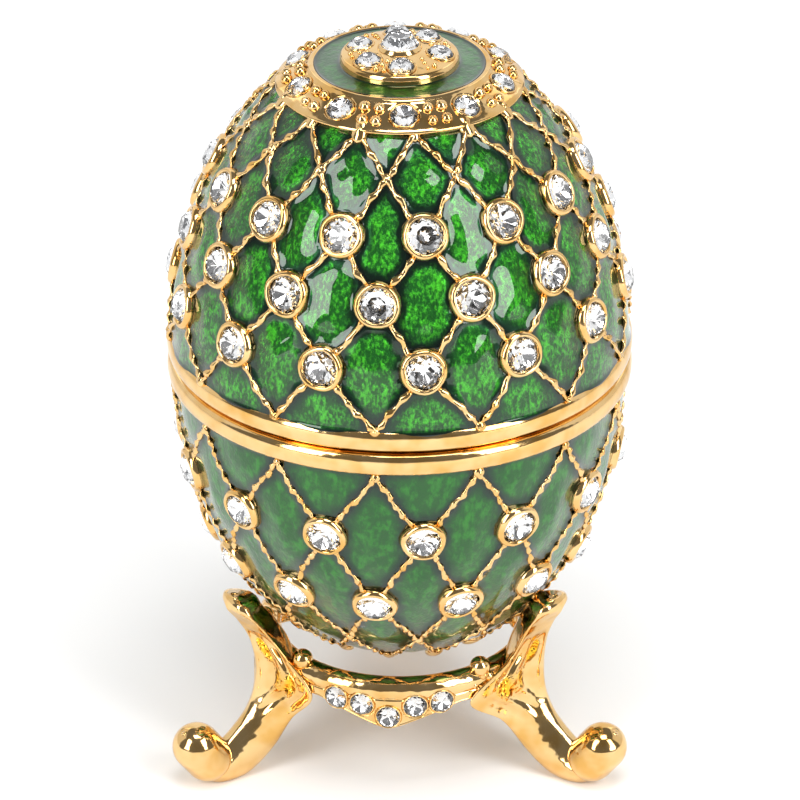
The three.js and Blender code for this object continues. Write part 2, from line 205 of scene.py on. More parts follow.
def joined(shells):
    """Several shells as one mesh."""
    points, blocks, start = [], {}, 0
    for shell_points, faces in shells:
        points.append(shell_points)
        for block in faces:
            blocks.setdefault(block.shape[1], []).append(block + start)
        start += len(shell_points)
    return np.concatenate(points), [np.concatenate(b) for b in blocks.values()]


def stamped(one, seats, sizes=None):
    """One shell copied to many seats, with +Z of the shell outwards: c + s (x side + y up + z out)."""
    points, faces = one
    centres, sides, ups, outs = seats
    scale = np.ones(len(centres)) if sizes is None else np.asarray(sizes)
    placed = points[None, :, :1] * sides[:, None] + points[None, :, 1:2] * ups[:, None]
    placed = placed + points[None, :, 2:] * outs[:, None]
    placed = centres[:, None] + scale[:, None, None] * placed
    shift = np.arange(len(centres))[:, None, None] * len(points)
    return placed.reshape(-1, 3), [(block[None] + shift).reshape(-1, block.shape[1]) for block in faces]


def drawn_together(groups):
    """Several groups of seats as one."""
    return [np.concatenate(parts) for parts in zip(*groups)]


def turned(profile, sides):
    """A profile of [radius, height] turned about +Z. It starts and ends near the axis, where fans close it."""
    radius, height = np.asarray(profile, float).T
    return closed_grid(around(radius[:, None], full_turn(sides), height[:, None]))


def rounded(profile, reach, steps=4):
    """A profile whose corners are rounded: each is replaced by a quadratic arc that starts a reach away."""
    profile = np.asarray(profile, float)
    out = [profile[:1]]
    for before, corner, after in zip(profile, profile[1:], profile[2:]):
        arms = [before - corner, after - corner]
        lengths = [np.linalg.norm(arm) for arm in arms]
        start, end = (corner + arm * min(reach, length * 0.45) / length for arm, length in zip(arms, lengths))
        t = np.linspace(0, 1, steps + 1)[:, None]
        out.append((1 - t) ** 2 * start + 2 * t * (1 - t) * corner + t ** 2 * end)
    return np.concatenate([*out, profile[-1:]])


def unit(vectors):
    """Vectors brought to length 1."""
    return vectors / np.linalg.norm(vectors, axis=-1, keepdims=True)


def arc_length(path):
    """Length along a path, up to each of its points."""
    return np.concatenate([[0], np.cumsum(np.linalg.norm(np.diff(path, axis=0), axis=-1))])


def placed_at(path, arc, at):
    """A path, or directions kept along it, at new lengths."""
    return np.stack([np.interp(at, arc, column) for column in path.T], -1)


def axis_offset(points, centre, out):
    """How far points lie from the axis of a seat, and how far along it."""
    way = points - centre
    lift = way @ out
    return np.sqrt(np.maximum(0, (way ** 2).sum(-1) - lift ** 2)), lift


print("stamping helpers are ready")

# %% [markdown]
# One function makes a finished piece: it puts the mesh into the frame, gives it its material, lets it ride
# on the body of the box and hides the solids of the frame that it stands in for. A number that belongs to each
# point, such as its distance from the nearest wire, is kept as an attribute that a material can read.

# %% Making a piece
pieces = {}


def make_piece(name, mesh, finish, slot, replaces=(), smooth=True, **values):
    """A mesh in millimetres as a piece of the box, with per-point values kept as attributes."""
    points, faces = mesh
    data = bpy.data.meshes.new(name)
    data.from_pydata(in_frame(points).tolist(), [], [face for block in faces for face in block.tolist()])
    data.update()
    for key, numbers in values.items():
        attribute = data.attributes.new(key, "FLOAT", "POINT")
        attribute.data.foreach_set("value", np.asarray(numbers, np.float32))
    data.polygons.foreach_set("use_smooth", np.full(len(data.polygons), smooth))
    data.materials.append(finish)
    piece = bpy.data.objects.new(name, data)
    bpy.context.scene.collection.objects.link(piece)
    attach(piece, "root")
    if replaces:
        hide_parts(*replaces)
    pieces[name] = sum(len(block) * (block.shape[1] - 2) for block in faces)
    print(f"{name}: {pieces[name]} triangles")


# %% [markdown]
# Shader maths is easier to read as expressions than as a list of nodes. A small class wraps a socket, so
# that adding or multiplying two of them adds the Math node that does it, and one method of the finish
# makes any other node.

# %% Shader helpers
class Value:
    """A number that a shader works out: an output socket that can be used in an expression."""

    def __init__(self, finish, socket):
        self.finish, self.socket = finish, socket

    def math(self, operation, other):
        """A Math node that takes this value first."""
        return self.finish.node("ShaderNodeMath", {"operation": operation}, {0: self, 1: other})

    def __add__(self, other):
        return self.math("ADD", other)

    def __mul__(self, other):
        return self.math("MULTIPLY", other)

    __radd__ = __add__

    def smooth(self, low, high):
        """0 below low, 1 above high, and a smooth step between them."""
        settings = {"interpolation_type": "SMOOTHSTEP"}
        return self.finish.node("ShaderNodeMapRange", settings, {0: self, 1: low, 2: high})


class Finish:
    """A material and the nodes in it."""

    def __init__(self, name):
        self.material = bpy.data.materials.new(name)
        self.material.use_nodes = True
        self.tree = self.material.node_tree
        self.tree.nodes.clear()
        self.place = self.node("ShaderNodeTexCoord", output="Object")

    def node(self, kind, settings=None, inputs=None, output=0):
        """A node of a kind, with its settings, then the values or links of its sockets, by name or number."""
        node = self.tree.nodes.new(kind)
        for key, value in (settings or {}).items():
            setattr(node, key, value)
        for key, value in (inputs or {}).items():
            if isinstance(value, Value):
                self.tree.links.new(value.socket, node.inputs[key])
            else:
                node.inputs[key].default_value = value
        return Value(self, node.outputs[output]) if node.outputs else node

    def noise(self, size, detail=2.0, roughness=0.5, tall=1.0):
        """Soft random values between 0 and 1, in spots of a size in millimetres and so many times as tall."""
        squash = {0: self.place, 1: (1, 1, 1 / tall)}
        place = self.node("ShaderNodeVectorMath", {"operation": "MULTIPLY"}, squash)
        inputs = {"Vector": place, "Scale": 1 / (size * MM), "Detail": detail, "Roughness": roughness}
        return self.node("ShaderNodeTexNoise", None, inputs)

    def grains(self, size):
        """Distance from the middle of the nearest of many packed grains of a size in millimetres."""
        return self.node("ShaderNodeTexVoronoi", None, {"Vector": self.place, "Scale": 1 / (size * MM)})

    def attribute(self, name):
        """A number that the mesh keeps for each of its points."""
        return self.node("ShaderNodeAttribute", {"attribute_name": name}, output="Fac")

    def blend(self, factor, first, second):
        """One colour turning into another."""
        inputs = {0: factor, 6: first, 7: second}
        return self.node("ShaderNodeMix", {"data_type": "RGBA"}, inputs, output=2)

    def bump(self, height, strength, distance, under=None):
        """A direction for the surface that leans as if its height changed, by a distance in millimetres."""
        inputs = {"Height": height, "Strength": strength, "Distance": distance * MM}
        if under is not None:
            inputs["Normal"] = under
        return self.node("ShaderNodeBump", None, inputs)

    def surface(self, **sockets):
        """Ends the finish with a Principled shader."""
        inputs = {key.replace("_", " "): value for key, value in sockets.items()}
        shader = self.node("ShaderNodeBsdfPrincipled", None, inputs)
        self.node("ShaderNodeOutputMaterial", None, {"Surface": shader})
        return self.material


print("shader helpers are ready")

# %% [markdown]
# Gold plate. The casting is zinc, polished and plated, so the gold is a thin bright skin: nearly a mirror
# on the ring and the legs, softly uneven where the mould was, and its tone wanders at random between pale
# and deep. Sunk parts keep the mould's grain, and an attribute says where; there the gold is painted deeper
# in colour, as painted bounce light for the light that goes from gold to gold in the recesses. The four
# kinds differ only in how wavy they are: the wires' gold is the smoothest and the ring's the waviest.

# %% Gold plate
PALE_GOLD = (0.84, 0.57, 0.26, 1)
DEEP_GOLD = (0.73, 0.42, 0.12, 1)
# Painted bounce light: the deeper orange that the grained recesses are painted with.
PAINTED_BOUNCE_GOLD = (0.95, 0.52, 0.04, 1)
TINT_SIZE, WAVE_SIZE, GRAIN_SIZE, SHEEN_SIZE = 2.6, 1.3, 0.62, 0.7
WAVE_HEIGHT, GRAIN_HEIGHT = 0.25, 0.35
POLISH, DULLER_SPOTS, DULLER_GRAIN = 0.06, 0.09, 0.1


def gold_plate(name, waviness):
    """Polished gold with slow waves in its height and colour, and packed grains where grain is 1."""
    gold = Finish(name)
    grain = gold.attribute("grain")
    colour = gold.blend(gold.noise(TINT_SIZE).smooth(0.35, 0.75), PALE_GOLD, DEEP_GOLD)
    # Painted bounce light: where the grain is, the colour turns to a deeper orange, standing in for light
    # bounced from gold to gold.
    colour = gold.blend(grain.smooth(0.0, 1.0), colour, PAINTED_BOUNCE_GOLD)
    waves = gold.bump(gold.noise(WAVE_SIZE, 1.0), waviness, WAVE_HEIGHT)
    grains = gold.bump(gold.grains(GRAIN_SIZE) * grain, 1.0, GRAIN_HEIGHT, under=waves)
    roughness = POLISH + gold.noise(SHEEN_SIZE, 3.0) * DULLER_SPOTS + grain * DULLER_GRAIN
    return gold.surface(Base_Color=colour, Metallic=1.0, Roughness=roughness, Normal=grains)


GOLD = gold_plate("gold_plate", 0.12)
CAST_GOLD = gold_plate("gold_cast", 0.3)
CROWN_GOLD = gold_plate("gold_crown", 0.2)
RING_GOLD = gold_plate("gold_ring", 0.5)
print("gold finishes:", GOLD.name, CAST_GOLD.name, CROWN_GOLD.name, RING_GOLD.name)

# %% [markdown]
# Enamel. Green glass is fired over a floor of bright metal that was left rough, so light goes through the
# green, glitters on the creases below and comes back, while the glass itself is smooth and mirrors the
# studio. A metallic base with a strong bump is the floor, and a clear coat over it is the glass: the bump
# turns the base only, and the coat stays smooth. The floor's colour also carries painted glints, lighter
# spots on the creases. Near a wire the glass climbs and gets thick, so it is painted darker there, partly
# for the thick glass and partly as painted shade in the crease by the wire. The mesh keeps each point's
# distance from the nearest wire for that.

# %% Green enamel
# Painted shade: the near-black green where the enamel meets a wire, partly for the thick glass and partly shade
# in the crease.
EDGE_THICK_AND_SHADE = (0.001, 0.010, 0.005, 1)
CLOUD_SIZE = 1.6
CREASE_TALL = 1.7
CREASE_HEIGHT = 0.3


def green_enamel(name, painted_glint, middle, thick_and_shade, sparkle, crease_size):
    """Coloured glass over crumpled foil: colour by distance from the wires, glitter from the foil's creases.

    The foil is painted lighter where a fine noise is high, as painted glints, and the same noise turns its
    normals. The creases are taller than they are wide. Near the wires the colour is darker, partly for the
    thick glass there and partly as painted shade.
    """
    glass = Finish(name)
    pool = glass.attribute("pool")
    cloud = glass.noise(CLOUD_SIZE, 3.0)
    crumple = glass.noise(crease_size, 3.0, 0.65, CREASE_TALL)
    # Painted glints: the foil's colour is painted lighter on the peaks of the crease noise.
    foil_and_glints = glass.blend((crumple + cloud * 0.5).smooth(0.66, 0.98), middle, painted_glint)
    # Darker towards the wires, partly for the thick glass and partly as painted shade; the cloud makes it
    # uneven at random.
    colour = glass.blend((pool + cloud * 0.9).smooth(0.55, 1.45), thick_and_shade, foil_and_glints)
    # Painted shade: near black right by the wire, partly for the thick glass there.
    colour = glass.blend(pool.smooth(0.0, 0.25), EDGE_THICK_AND_SHADE, colour)
    normal = glass.bump(crumple * pool.smooth(0.2, 1.0), sparkle, CREASE_HEIGHT)
    return glass.surface(
        Base_Color=colour, Metallic=0.85, Roughness=0.28, Normal=normal,
        Coat_Weight=1.0, Coat_Roughness=0.012, Coat_IOR=1.5)


LID_GREEN = green_enamel(
    "enamel_lid", painted_glint=(0.05, 0.45, 0.016, 1), middle=(0.002, 0.075, 0.004, 1),
    thick_and_shade=(0.0008, 0.022, 0.008, 1), sparkle=1.0, crease_size=0.34)
BOWL_GREEN = green_enamel(
    "enamel_bowl", painted_glint=(0.016, 0.19, 0.012, 1), middle=(0.004, 0.085, 0.008, 1),
    thick_and_shade=(0.0012, 0.026, 0.010, 1), sparkle=0.4, crease_size=0.7)
print("enamels:", LID_GREEN.name, BOWL_GREEN.name)

# %% [markdown]
# Crystals. Each is a small round brilliant of clear glass over a mirror foil, which sends the light back.
# The glass is see-through by plain values on its shader, and the foil is bright silver.

# %% Crystal and foil
CRYSTAL = Finish("crystal").surface(
    Base_Color=(0.97, 0.975, 0.98, 1), Roughness=0.0, IOR=1.56, Transmission_Weight=1.0)
FOIL = Finish("crystal_foil").surface(Base_Color=(0.97, 0.95, 0.94, 1), Metallic=1.0, Roughness=0.1)
print("crystal finishes:", CRYSTAL.name, FOIL.name)

# %% [markdown]
# The egg's outline. Each half is a superellipse turned about the axis: the radius falls from its largest
# value at the seam to nothing at the pole, and two powers say how square the curve is. The lid is a little
# more pointed than the bowl. Heights are counted away from the seam, up for the lid and down for the bowl.

# %% The egg's outline
LID = {
    "radius": 22.6, "height": 31.43, "across": 2.35, "along": 1.69, "up": 1,
    "rows": [1.75, 7.7, 13.9, 19.7, 24.4, 27.6], "turns": [0, -1, 0, 0.9, 1.2, 0],
    "leans": [0, 0.5, 0.5, 0.5, 0, 0], "stones": (1, 2, 3)}
BOWL = {
    "radius": 22.24, "height": 32.45, "across": 2.31, "along": 2.1, "up": -1,
    "rows": [3.4, 10.7, 19.3, 25.4, 29.9], "turns": [0, -0.8, -1.5, 0, 0],
    "leans": [0] * 5, "stones": (1, 2)}
SLOPE_STEP = 0.01
FINE_STEPS = 2000


def egg_radius(half, height):
    """Radius at a height away from the seam: R (1 - (z / H)^along)^(1 / across)."""
    share = np.clip(np.abs(height) / half["height"], 0, 1)
    return half["radius"] * (1 - share ** half["along"]) ** (1 / half["across"])


def egg_slope(half, height):
    """How fast the radius changes with height, by a small difference."""
    above, below = height + SLOPE_STEP, height - SLOPE_STEP
    return (egg_radius(half, above) - egg_radius(half, below)) / (2 * SLOPE_STEP)


def egg_point(half, degrees, height, lift=0.0):
    """Points on a half's surface, lifted along its outward direction."""
    degrees, height, lift = np.broadcast_arrays(degrees, height, lift)
    slope = egg_slope(half, height)
    length = np.hypot(1, slope)
    radius = egg_radius(half, height) + lift / length
    return around(radius, degrees, (height - lift * slope / length) * half["up"])


def egg_seats(half, degrees, height):
    """Seats on a half's surface: centre, sideways, upwards and outwards directions."""
    degrees, height = np.broadcast_arrays(np.atleast_1d(degrees).astype(float), height)
    slope = egg_slope(half, height)
    length = np.hypot(1, slope)
    outs = around(1 / length, degrees, -slope / length * half["up"])
    sides = around(1, degrees + 90, np.zeros_like(height))
    return egg_point(half, degrees, height), sides, np.cross(outs, sides), outs


def even_heights(half, low, high, count):
    """Heights between two, spaced evenly along the curve of the surface."""
    fine = np.linspace(low, high, FINE_STEPS)
    arc = arc_length(np.stack([fine, egg_radius(half, fine)], -1))
    return np.interp(np.linspace(0, arc[-1], count), arc, fine)


print("radius at the seam, mm:", LID["radius"], "above and", BOWL["radius"], "below")

# %% [markdown]
# The lattice. Fourteen wires start from each rim each way, and a wire moves on by half a step for every
# row of crossings that it passes. The rows were laid one by one: each has its own height, some are turned a
# little against the others, and some lean to one side. Only the rows named as stones carry crystals.

# %% The lattice and its crystals
CROSSINGS = 14
HALF_STEP = 180 / CROSSINGS
LATTICE_TURN = 6.9


def by_row(half, key, row):
    """A value that is known for each row of crossings, at a row that may lie between two."""
    return np.interp(row, np.arange(len(half["rows"])), half[key])


def lattice_place(half, row, step):
    """Angle and height of a point of the lattice: rows are a little turned, and some lean to one side."""
    degrees = LATTICE_TURN + step * HALF_STEP + by_row(half, "turns", row)
    return degrees, by_row(half, "rows", row) + by_row(half, "leans", row) * np.sin(np.radians(degrees))


def lattice_row(half, degrees, height):
    """The other way round: the row at an angle and a height. The lean there is taken off the height first."""
    index = np.arange(len(half["rows"]))
    lean = by_row(half, "leans", np.interp(height, half["rows"], index)) * np.sin(np.radians(degrees))
    return np.interp(height - lean, half["rows"], index)


def row_seats(half, rows):
    """Seats of all the crossings of some rows: every other half step, and the other ones in the next row."""
    steps = [np.arange((row + 1) % 2, 2 * CROSSINGS, 2) for row in rows]
    return drawn_together([egg_seats(half, *lattice_place(half, row, step)) for row, step in zip(rows, steps)])


for half in (LID, BOWL):
    half["seats"] = row_seats(half, half["stones"])
print("crystals on the lid:", len(LID["seats"][0]), "and on the bowl:", len(BOWL["seats"][0]))

# %% [markdown]
# Enamel skins. The enamel of one half is one surface on a fine grid of angle and height. It keeps to the
# egg in the middle of each cell and climbs where it wets a wire, a bezel or a rim, as water does in a
# glass. The climb from each of them is an exponential of the distance, and where two come together their
# shares are joined as 1 - (1 - a)(1 - b), which stays smooth in the corners of a cell. Inside that rim the
# enamel is also a low dome, because it draws together as it cools, so a lamp shows as a narrow bar in it.

# %% Enamel surface
WIRE_HALF_WIDTH = 0.3
BEZEL_RADIUS = 2.15
RIM_WIDTH = 0.2
CLIMB, CLIMB_REACH = 0.34, 0.55
DOME, DOME_REACH = 0.19, 1.4
UNDER_BEZEL = -0.37
SKIN = 0.4
ENAMEL_COLUMNS, ENAMEL_ROWS, INNER_ROWS = 28 * 14, 130, 24
FAR, SEAT_DEPTH, OTHER_SIDE = 99.0, 3, 9


def wire_distances(half, degrees, height):
    """Distance on the surface from the nearest wire of each slant.

    A wire moves one half step round for each row, so it is a straight line in the plane of half steps
    and rows. The distance is the offset round the egg times the sine of the wire's own slant.
    """
    row = lattice_row(half, degrees, height)
    step = (degrees - LATTICE_TURN - by_row(half, "turns", row)) / HALF_STEP
    rows = np.array(half["rows"])
    index = np.clip(row.astype(int), 0, len(rows) - 2)
    along = (rows[index + 1] - rows[index]) * np.hypot(1, egg_slope(half, height))
    across = egg_radius(half, height) * math.radians(HALF_STEP)
    slant = across * along / np.hypot(across, along)
    return [np.abs((step + way * row) % 2 - 1) * slant for way in (-1, 1)]


def stone_distance(half, points):
    """Distance from the axis of the nearest crystal. One far above or below its seat counts as farther."""
    centres, _, _, outs = half["seats"]
    nearest = np.full(points.shape[:-1], FAR)
    for centre, out in zip(centres, outs):
        off, lift = axis_offset(points, centre, out)
        nearest = np.minimum(nearest, off + OTHER_SIDE * (np.abs(lift) > SEAT_DEPTH))
    return nearest


def enamel_skin(half, low, high):
    """The skin of one half and its pool value, the distance of each point from what holds the enamel in."""
    height = even_heights(half, low, high, ENAMEL_ROWS)[:, None]
    degrees = full_turn(ENAMEL_COLUMNS)[None, :]
    base = egg_point(half, degrees, height)
    arc = arc_length(base[:, 0])[:, None]
    stones = stone_distance(half, base)
    ways = [distance - WIRE_HALF_WIDTH for distance in wire_distances(half, degrees, height)]
    ways += [stones - BEZEL_RADIUS, arc - RIM_WIDTH, arc[-1] - arc - RIM_WIDTH]
    ways = [np.maximum(way, 0) for way in np.broadcast_arrays(*ways)]
    climb = 1 - np.prod([1 - np.exp(-way / CLIMB_REACH) for way in ways], axis=0)
    pool = -CLIMB_REACH * np.log(np.maximum(climb, 1e-6))
    dome = -DOME * DOME_REACH * np.log(sum(np.exp(-way / DOME_REACH) for way in ways))
    lift = np.where(stones < BEZEL_RADIUS - 0.1, UNDER_BEZEL, CLIMB * climb + dome)
    outer = egg_point(half, degrees, height, lift)
    inner = egg_point(half, degrees, even_heights(half, low, high, INNER_ROWS)[::-1, None], -SKIN)
    pools = np.concatenate([pool.ravel(), np.zeros(INNER_ROWS * ENAMEL_COLUMNS)])
    return ring_grid(np.concatenate([outer, inner])), pools


SKINS = (("lid", LID, LID_GREEN, 1.2, 28.1), ("bowl", BOWL, BOWL_GREEN, 2.6, 31.2))
for name, half, finish, foot, top in SKINS:
    skin, pool = enamel_skin(half, foot, top)
    make_piece(f"{name}_enamel", skin, finish, "green_enamel", pool=pool)

# %% [markdown]
# Castings. Under the enamel each half is a turned shape: a thin wall with a round band at its rim. A
# profile from the inside of the pole, round the rim and back to the pole outside is turned about the axis.
# The lid ends in a plain seat for the gold top, which is made later. The bowl has a collar inside its rim
# that guides the lid, and a low boss underneath.

# %% Lid and bowl castings
WALL = 1.35
UNDER_SKIN = 0.35
LATHE_SIDES = 252
CURVE_POINTS, WALL_POINTS, BAND_POINTS = 24, 40, 13
MOUTH = 21.25
LID_CEILING = LID["height"] - 2.2
CROWN_SEAT = [[10.9, 27.55], [8.0, 29.3], [NEAR_AXIS, 29.45]]
BAND = {"radius": 22.35, "bulge": 0.6, "power": 0.8}
BOWL_FLOOR = -29.5
COLLAR_FOOT = -2.8
COLLAR = [[20.85, -2.7], [20.2, -1.7], [20.2, 1.8], [20.95, 1.8], [20.95, -0.75], [22.3, -0.75]]
BOSS = [[7.4, -31.25], [7.3, -31.5], [3.4, -32.4], [NEAR_AXIS, -32.4]]


def inside_curve(half, depth, count):
    """The hollow's outline, from the rim to the pole: the egg's own curve, one wall further in."""
    along = np.linspace(0, math.pi / 2, count)
    radius = (half["radius"] - WALL) * np.cos(along) ** (2 / half["across"])
    return np.stack([radius, depth * np.sin(along) ** (2 / half["along"])], -1)


def outside_curve(half, low, high, count):
    """The metal under the enamel, from the rim towards the pole."""
    height = even_heights(half, low, high, count)
    return np.stack([egg_radius(half, height) - UNDER_SKIN, height], -1)


def rim_band(low, high):
    """A band with a half-round face, from its lower to its upper edge."""
    angle = np.linspace(-math.pi / 2, math.pi / 2, BAND_POINTS)
    radius = BAND["radius"] + BAND["bulge"] * np.cos(angle) ** BAND["power"]
    return np.stack([radius, (low + high) / 2 + (high - low) / 2 * np.sin(angle)], -1)


def lid_casting():
    """The lid's profile turned: hollow, foot, rim band, wall, and the part under the gold top."""
    hollow = inside_curve(LID, LID_CEILING, CURVE_POINTS)[::-1]
    hollow[0, 0], hollow[-1] = NEAR_AXIS, (MOUTH, 1.0)
    foot = [[MOUTH, LID_FOOT + 0.1], [MOUTH + 0.1, LID_FOOT]]
    wall = outside_curve(LID, 1.9, 27.4, WALL_POINTS)
    return turned(np.concatenate([hollow, foot, rim_band(LID_FOOT, 1.72), wall, CROWN_SEAT]), LATHE_SIDES)


def bowl_casting():
    """The bowl's profile turned: floor and hollow, collar, rim band, wall and the boss underneath."""
    hollow = inside_curve(BOWL, BOWL["height"] - WALL, CURVE_POINTS)[::-1] * (1, -1)
    hollow = hollow[hollow[:, 1] > BOWL_FLOOR + 0.2]
    reach = hollow[0, 0]
    floor = [[NEAR_AXIS, BOWL_FLOOR], [reach * 0.5, BOWL_FLOOR], [reach * 0.93, BOWL_FLOOR + 0.02]]
    hollow = hollow[hollow[:, 1] < COLLAR_FOOT]
    wall = outside_curve(BOWL, 3.2, 31.2, WALL_POINTS) * (1, -1)
    parts = [floor, hollow, rounded(COLLAR, 0.15), rim_band(-3.0, -0.8)[::-1], wall, rounded(BOSS, 0.3)]
    return turned(np.concatenate(parts), LATHE_SIDES)


make_piece("lid_casting", lid_casting(), GOLD, "gold_plate", replaces=["lid"])
make_piece("bowl_casting", bowl_casting(), GOLD, "gold_plate", replaces=["bowl"])

# %% [markdown]
# Lattice wires. On the real lid they look like twisted wire: short slanting leaves, one after the other.
# A flat oval section that turns as it runs along the wire gives just that look, with a notch where the
# oval stands on edge. Each wire is one tube from the rim to the pole, and it leans a little to and fro,
# as a hand-worked model would. It dips where it passes under a crystal's bezel.

# %% Lattice wires
LID.update(leaf=1.75, wire=0.38)
BOWL.update(leaf=1.3, wire=0.34)
WIRE_THIN = 0.2
WIRE_LIFT = 0.27
WIRE_SIDES = 8
LEAF_STEPS = 8
LEAF_TURN = 0.65
PATH_POINTS = 900
TWIST_WAVE, SWELL_WAVE = (0.5, 0.9), (0.1, 2.1)
SWAY_WAVES = (0.09, 1.3), (0.06, 2.9)
RIPPLE = 0.07
DIP, DIP_FROM, DIP_TO = 0.9, 1.75, 2.3
chance = np.random.default_rng(14)


def wander(at, size, rate):
    """A slow wave along a wire, of a size and so many radians to the millimetre, that starts anywhere."""
    return size * np.sin(at * rate + chance.uniform(0, 6))


def wire_path(half, start, way):
    """Points along one wire, with the surface direction at each: one half step round for every row."""
    row = np.linspace(0, len(half["rows"]) - 1, PATH_POINTS)
    centres, _, _, outs = egg_seats(half, *lattice_place(half, row, start + way * row))
    return centres, outs


def twisted_wire(half, start, way):
    """An oval section carried along a wire's path, turned to and fro once for each leaf."""
    path, outs = wire_path(half, start, way)
    arc = arc_length(path)
    at = np.linspace(0, arc[-1], int(arc[-1] / half["leaf"] * LEAF_STEPS))
    centre, out = placed_at(path, arc, at), unit(placed_at(outs, arc, at))
    side = unit(np.cross(unit(np.gradient(centre, axis=0)), out))
    phase = math.pi * at / half["leaf"] * way + chance.uniform(0, math.pi)
    phase = phase + wander(at, *TWIST_WAVE)
    sway = sum(wander(at, *wave) for wave in SWAY_WAVES)
    swell = 0.8 + 0.2 * np.cos(2 * phase) + wander(at, *SWELL_WAVE)
    turn = LEAF_TURN * np.sin(2 * phase)[:, None]
    angle = np.linspace(0, 2 * math.pi, WIRE_SIDES, endpoint=False)[None, :]
    wide, thin = half["wire"] * np.cos(angle), WIRE_THIN * np.sin(angle)
    across = (wide * np.cos(turn) - thin * np.sin(turn)) * swell[:, None]
    lift = (wide * np.sin(turn) + thin * np.cos(turn)) * swell[:, None]
    near = np.linalg.norm(centre[:, None] - half["seats"][0][None], axis=-1).min(1)
    dip = DIP * (1 - soft_step(near, DIP_FROM, DIP_TO))
    height = WIRE_LIFT + RIPPLE * np.cos(2 * phase + 0.4) - dip
    centre = centre + out * height[:, None] + side * sway[:, None]
    return closed_grid(centre[:, None] + across[..., None] * side[:, None] + lift[..., None] * out[:, None])


def lattice_wires(half):
    """All the wires of one half: from each crossing on the rim, one wire each way."""
    starts = range(1, 2 * CROSSINGS, 2)
    return joined([twisted_wire(half, start, way) for start in starts for way in (-1, 1)])


print("leaves on a wire of the lid:", round(arc_length(wire_path(LID, 1, 1)[0])[-1] / LID["leaf"]))

# %% [markdown]
# Where two wires cross without a crystal, and where they meet the rims, the real casting has a small lump
# of metal. A ball pressed a little flat is stamped there, each with its own size. Those of the last row
# are bigger and drawn out along the wires, because the wires run together there.

# %% Lumps at the bare crossings, and the wires as pieces
LUMP = {"radius": 0.5, "flat": 0.62, "lift": 0.22, "last_size": 1.5, "last_stretch": 1.7}


def pellet(radius, flat):
    """A ball of gold, pressed a little flat."""
    angle = np.linspace(-math.pi / 2 + 0.1, math.pi / 2 - 0.1, 9)
    return turned(np.stack([radius * np.cos(angle), flat * radius * np.sin(angle)], -1), 14)


def knots(half):
    """Small lumps of metal where two wires cross without a crystal, and where they meet the rims."""
    bare = [row for row in range(len(half["rows"])) if row not in half["stones"]]
    centres, sides, ups, outs = row_seats(half, bare)
    last = np.arange(len(centres)) >= len(centres) - CROSSINGS
    stretch, size = (np.where(last, LUMP[key], 1) for key in ("last_stretch", "last_size"))
    seats = (centres + outs * LUMP["lift"], sides, ups * stretch[:, None], outs)
    return stamped(pellet(LUMP["radius"], LUMP["flat"]), seats, chance.uniform(0.75, 1.25, len(centres)) * size)


make_piece("lid_wires", joined([lattice_wires(LID), knots(LID)]), GOLD, "gold_plate")
make_piece("bowl_wires", joined([lattice_wires(BOWL), knots(BOWL)]), GOLD, "gold_plate")

# %% [markdown]
# Bezels. A thick gold ring with a rounded lip holds each crystal. One profile is turned into a closed cup,
# and the cup is stamped on all the seats. The small stones of the top and the swags have a thinner lip.

# %% Bezels
def bezel(profile, reach, steps, wobble, sides=28):
    """A turned cup whose outline is a little out of round, as soft metal pressed by hand.

    The radius is stretched by 1 + w cos(3 a + 0.6) + 0.6 w cos(5 a).
    """
    points, faces = turned(rounded(profile, reach, steps), sides)
    angle = np.arctan2(points[:, 0], points[:, 1])
    stretch = 1 + wobble * np.cos(3 * angle + 0.6) + wobble * 0.6 * np.cos(5 * angle)
    points[:, :2] *= stretch[:, None]
    return points, faces


def spun(seats):
    """The same seats, each turned about its own axis by a chance angle."""
    centres, sides, ups, outs = seats
    spin = chance.uniform(0, 2 * math.pi, len(centres))[:, None]
    return centres, sides * np.cos(spin) + ups * np.sin(spin), ups * np.cos(spin) - sides * np.sin(spin), outs


BEZEL = bezel([
    [NEAR_AXIS, -0.34], [2.15, -0.34], [2.3, 0.05], [2.28, 0.42], [2.1, 0.74], [1.84, 0.8], [1.68, 0.6],
    [1.62, -0.28], [NEAR_AXIS, -0.28]], 0.2, 3, 0.018)
SMALL_BEZEL = bezel([
    [NEAR_AXIS, -0.45], [1.46, -0.45], [1.46, -0.1], [1.41, 0.07], [1.33, 0.12], [1.26, 0.08],
    [1.24, -0.39], [NEAR_AXIS, -0.39]], 0.06, 2, 0.012)
SWAG_BEZEL = bezel([
    [NEAR_AXIS, -0.45], [1.34, -0.45], [1.34, -0.1], [1.30, 0.06], [1.23, 0.1], [1.17, 0.07],
    [1.15, -0.39], [NEAR_AXIS, -0.39]], 0.06, 2, 0.012)
for name, half in (("lid", LID), ("bowl", BOWL)):
    sizes = chance.uniform(0.98, 1.04, len(half["seats"][0]))
    make_piece(f"{name}_bezels", stamped(BEZEL, spun(half["seats"]), sizes), GOLD, "gold_plate")

# %% [markdown]
# Cut stones. A round brilliant has an eight-sided table, eight star facets, eight kites and sixteen small
# facets down to the girdle, and behind it the pavilion, which here is a shallow cone of facets. The foil
# is a cup that fits under the pavilion. The numbers of a cut are the girdle's radius and height, the
# table's radius and height, and the height of the tip below, all from the seat.

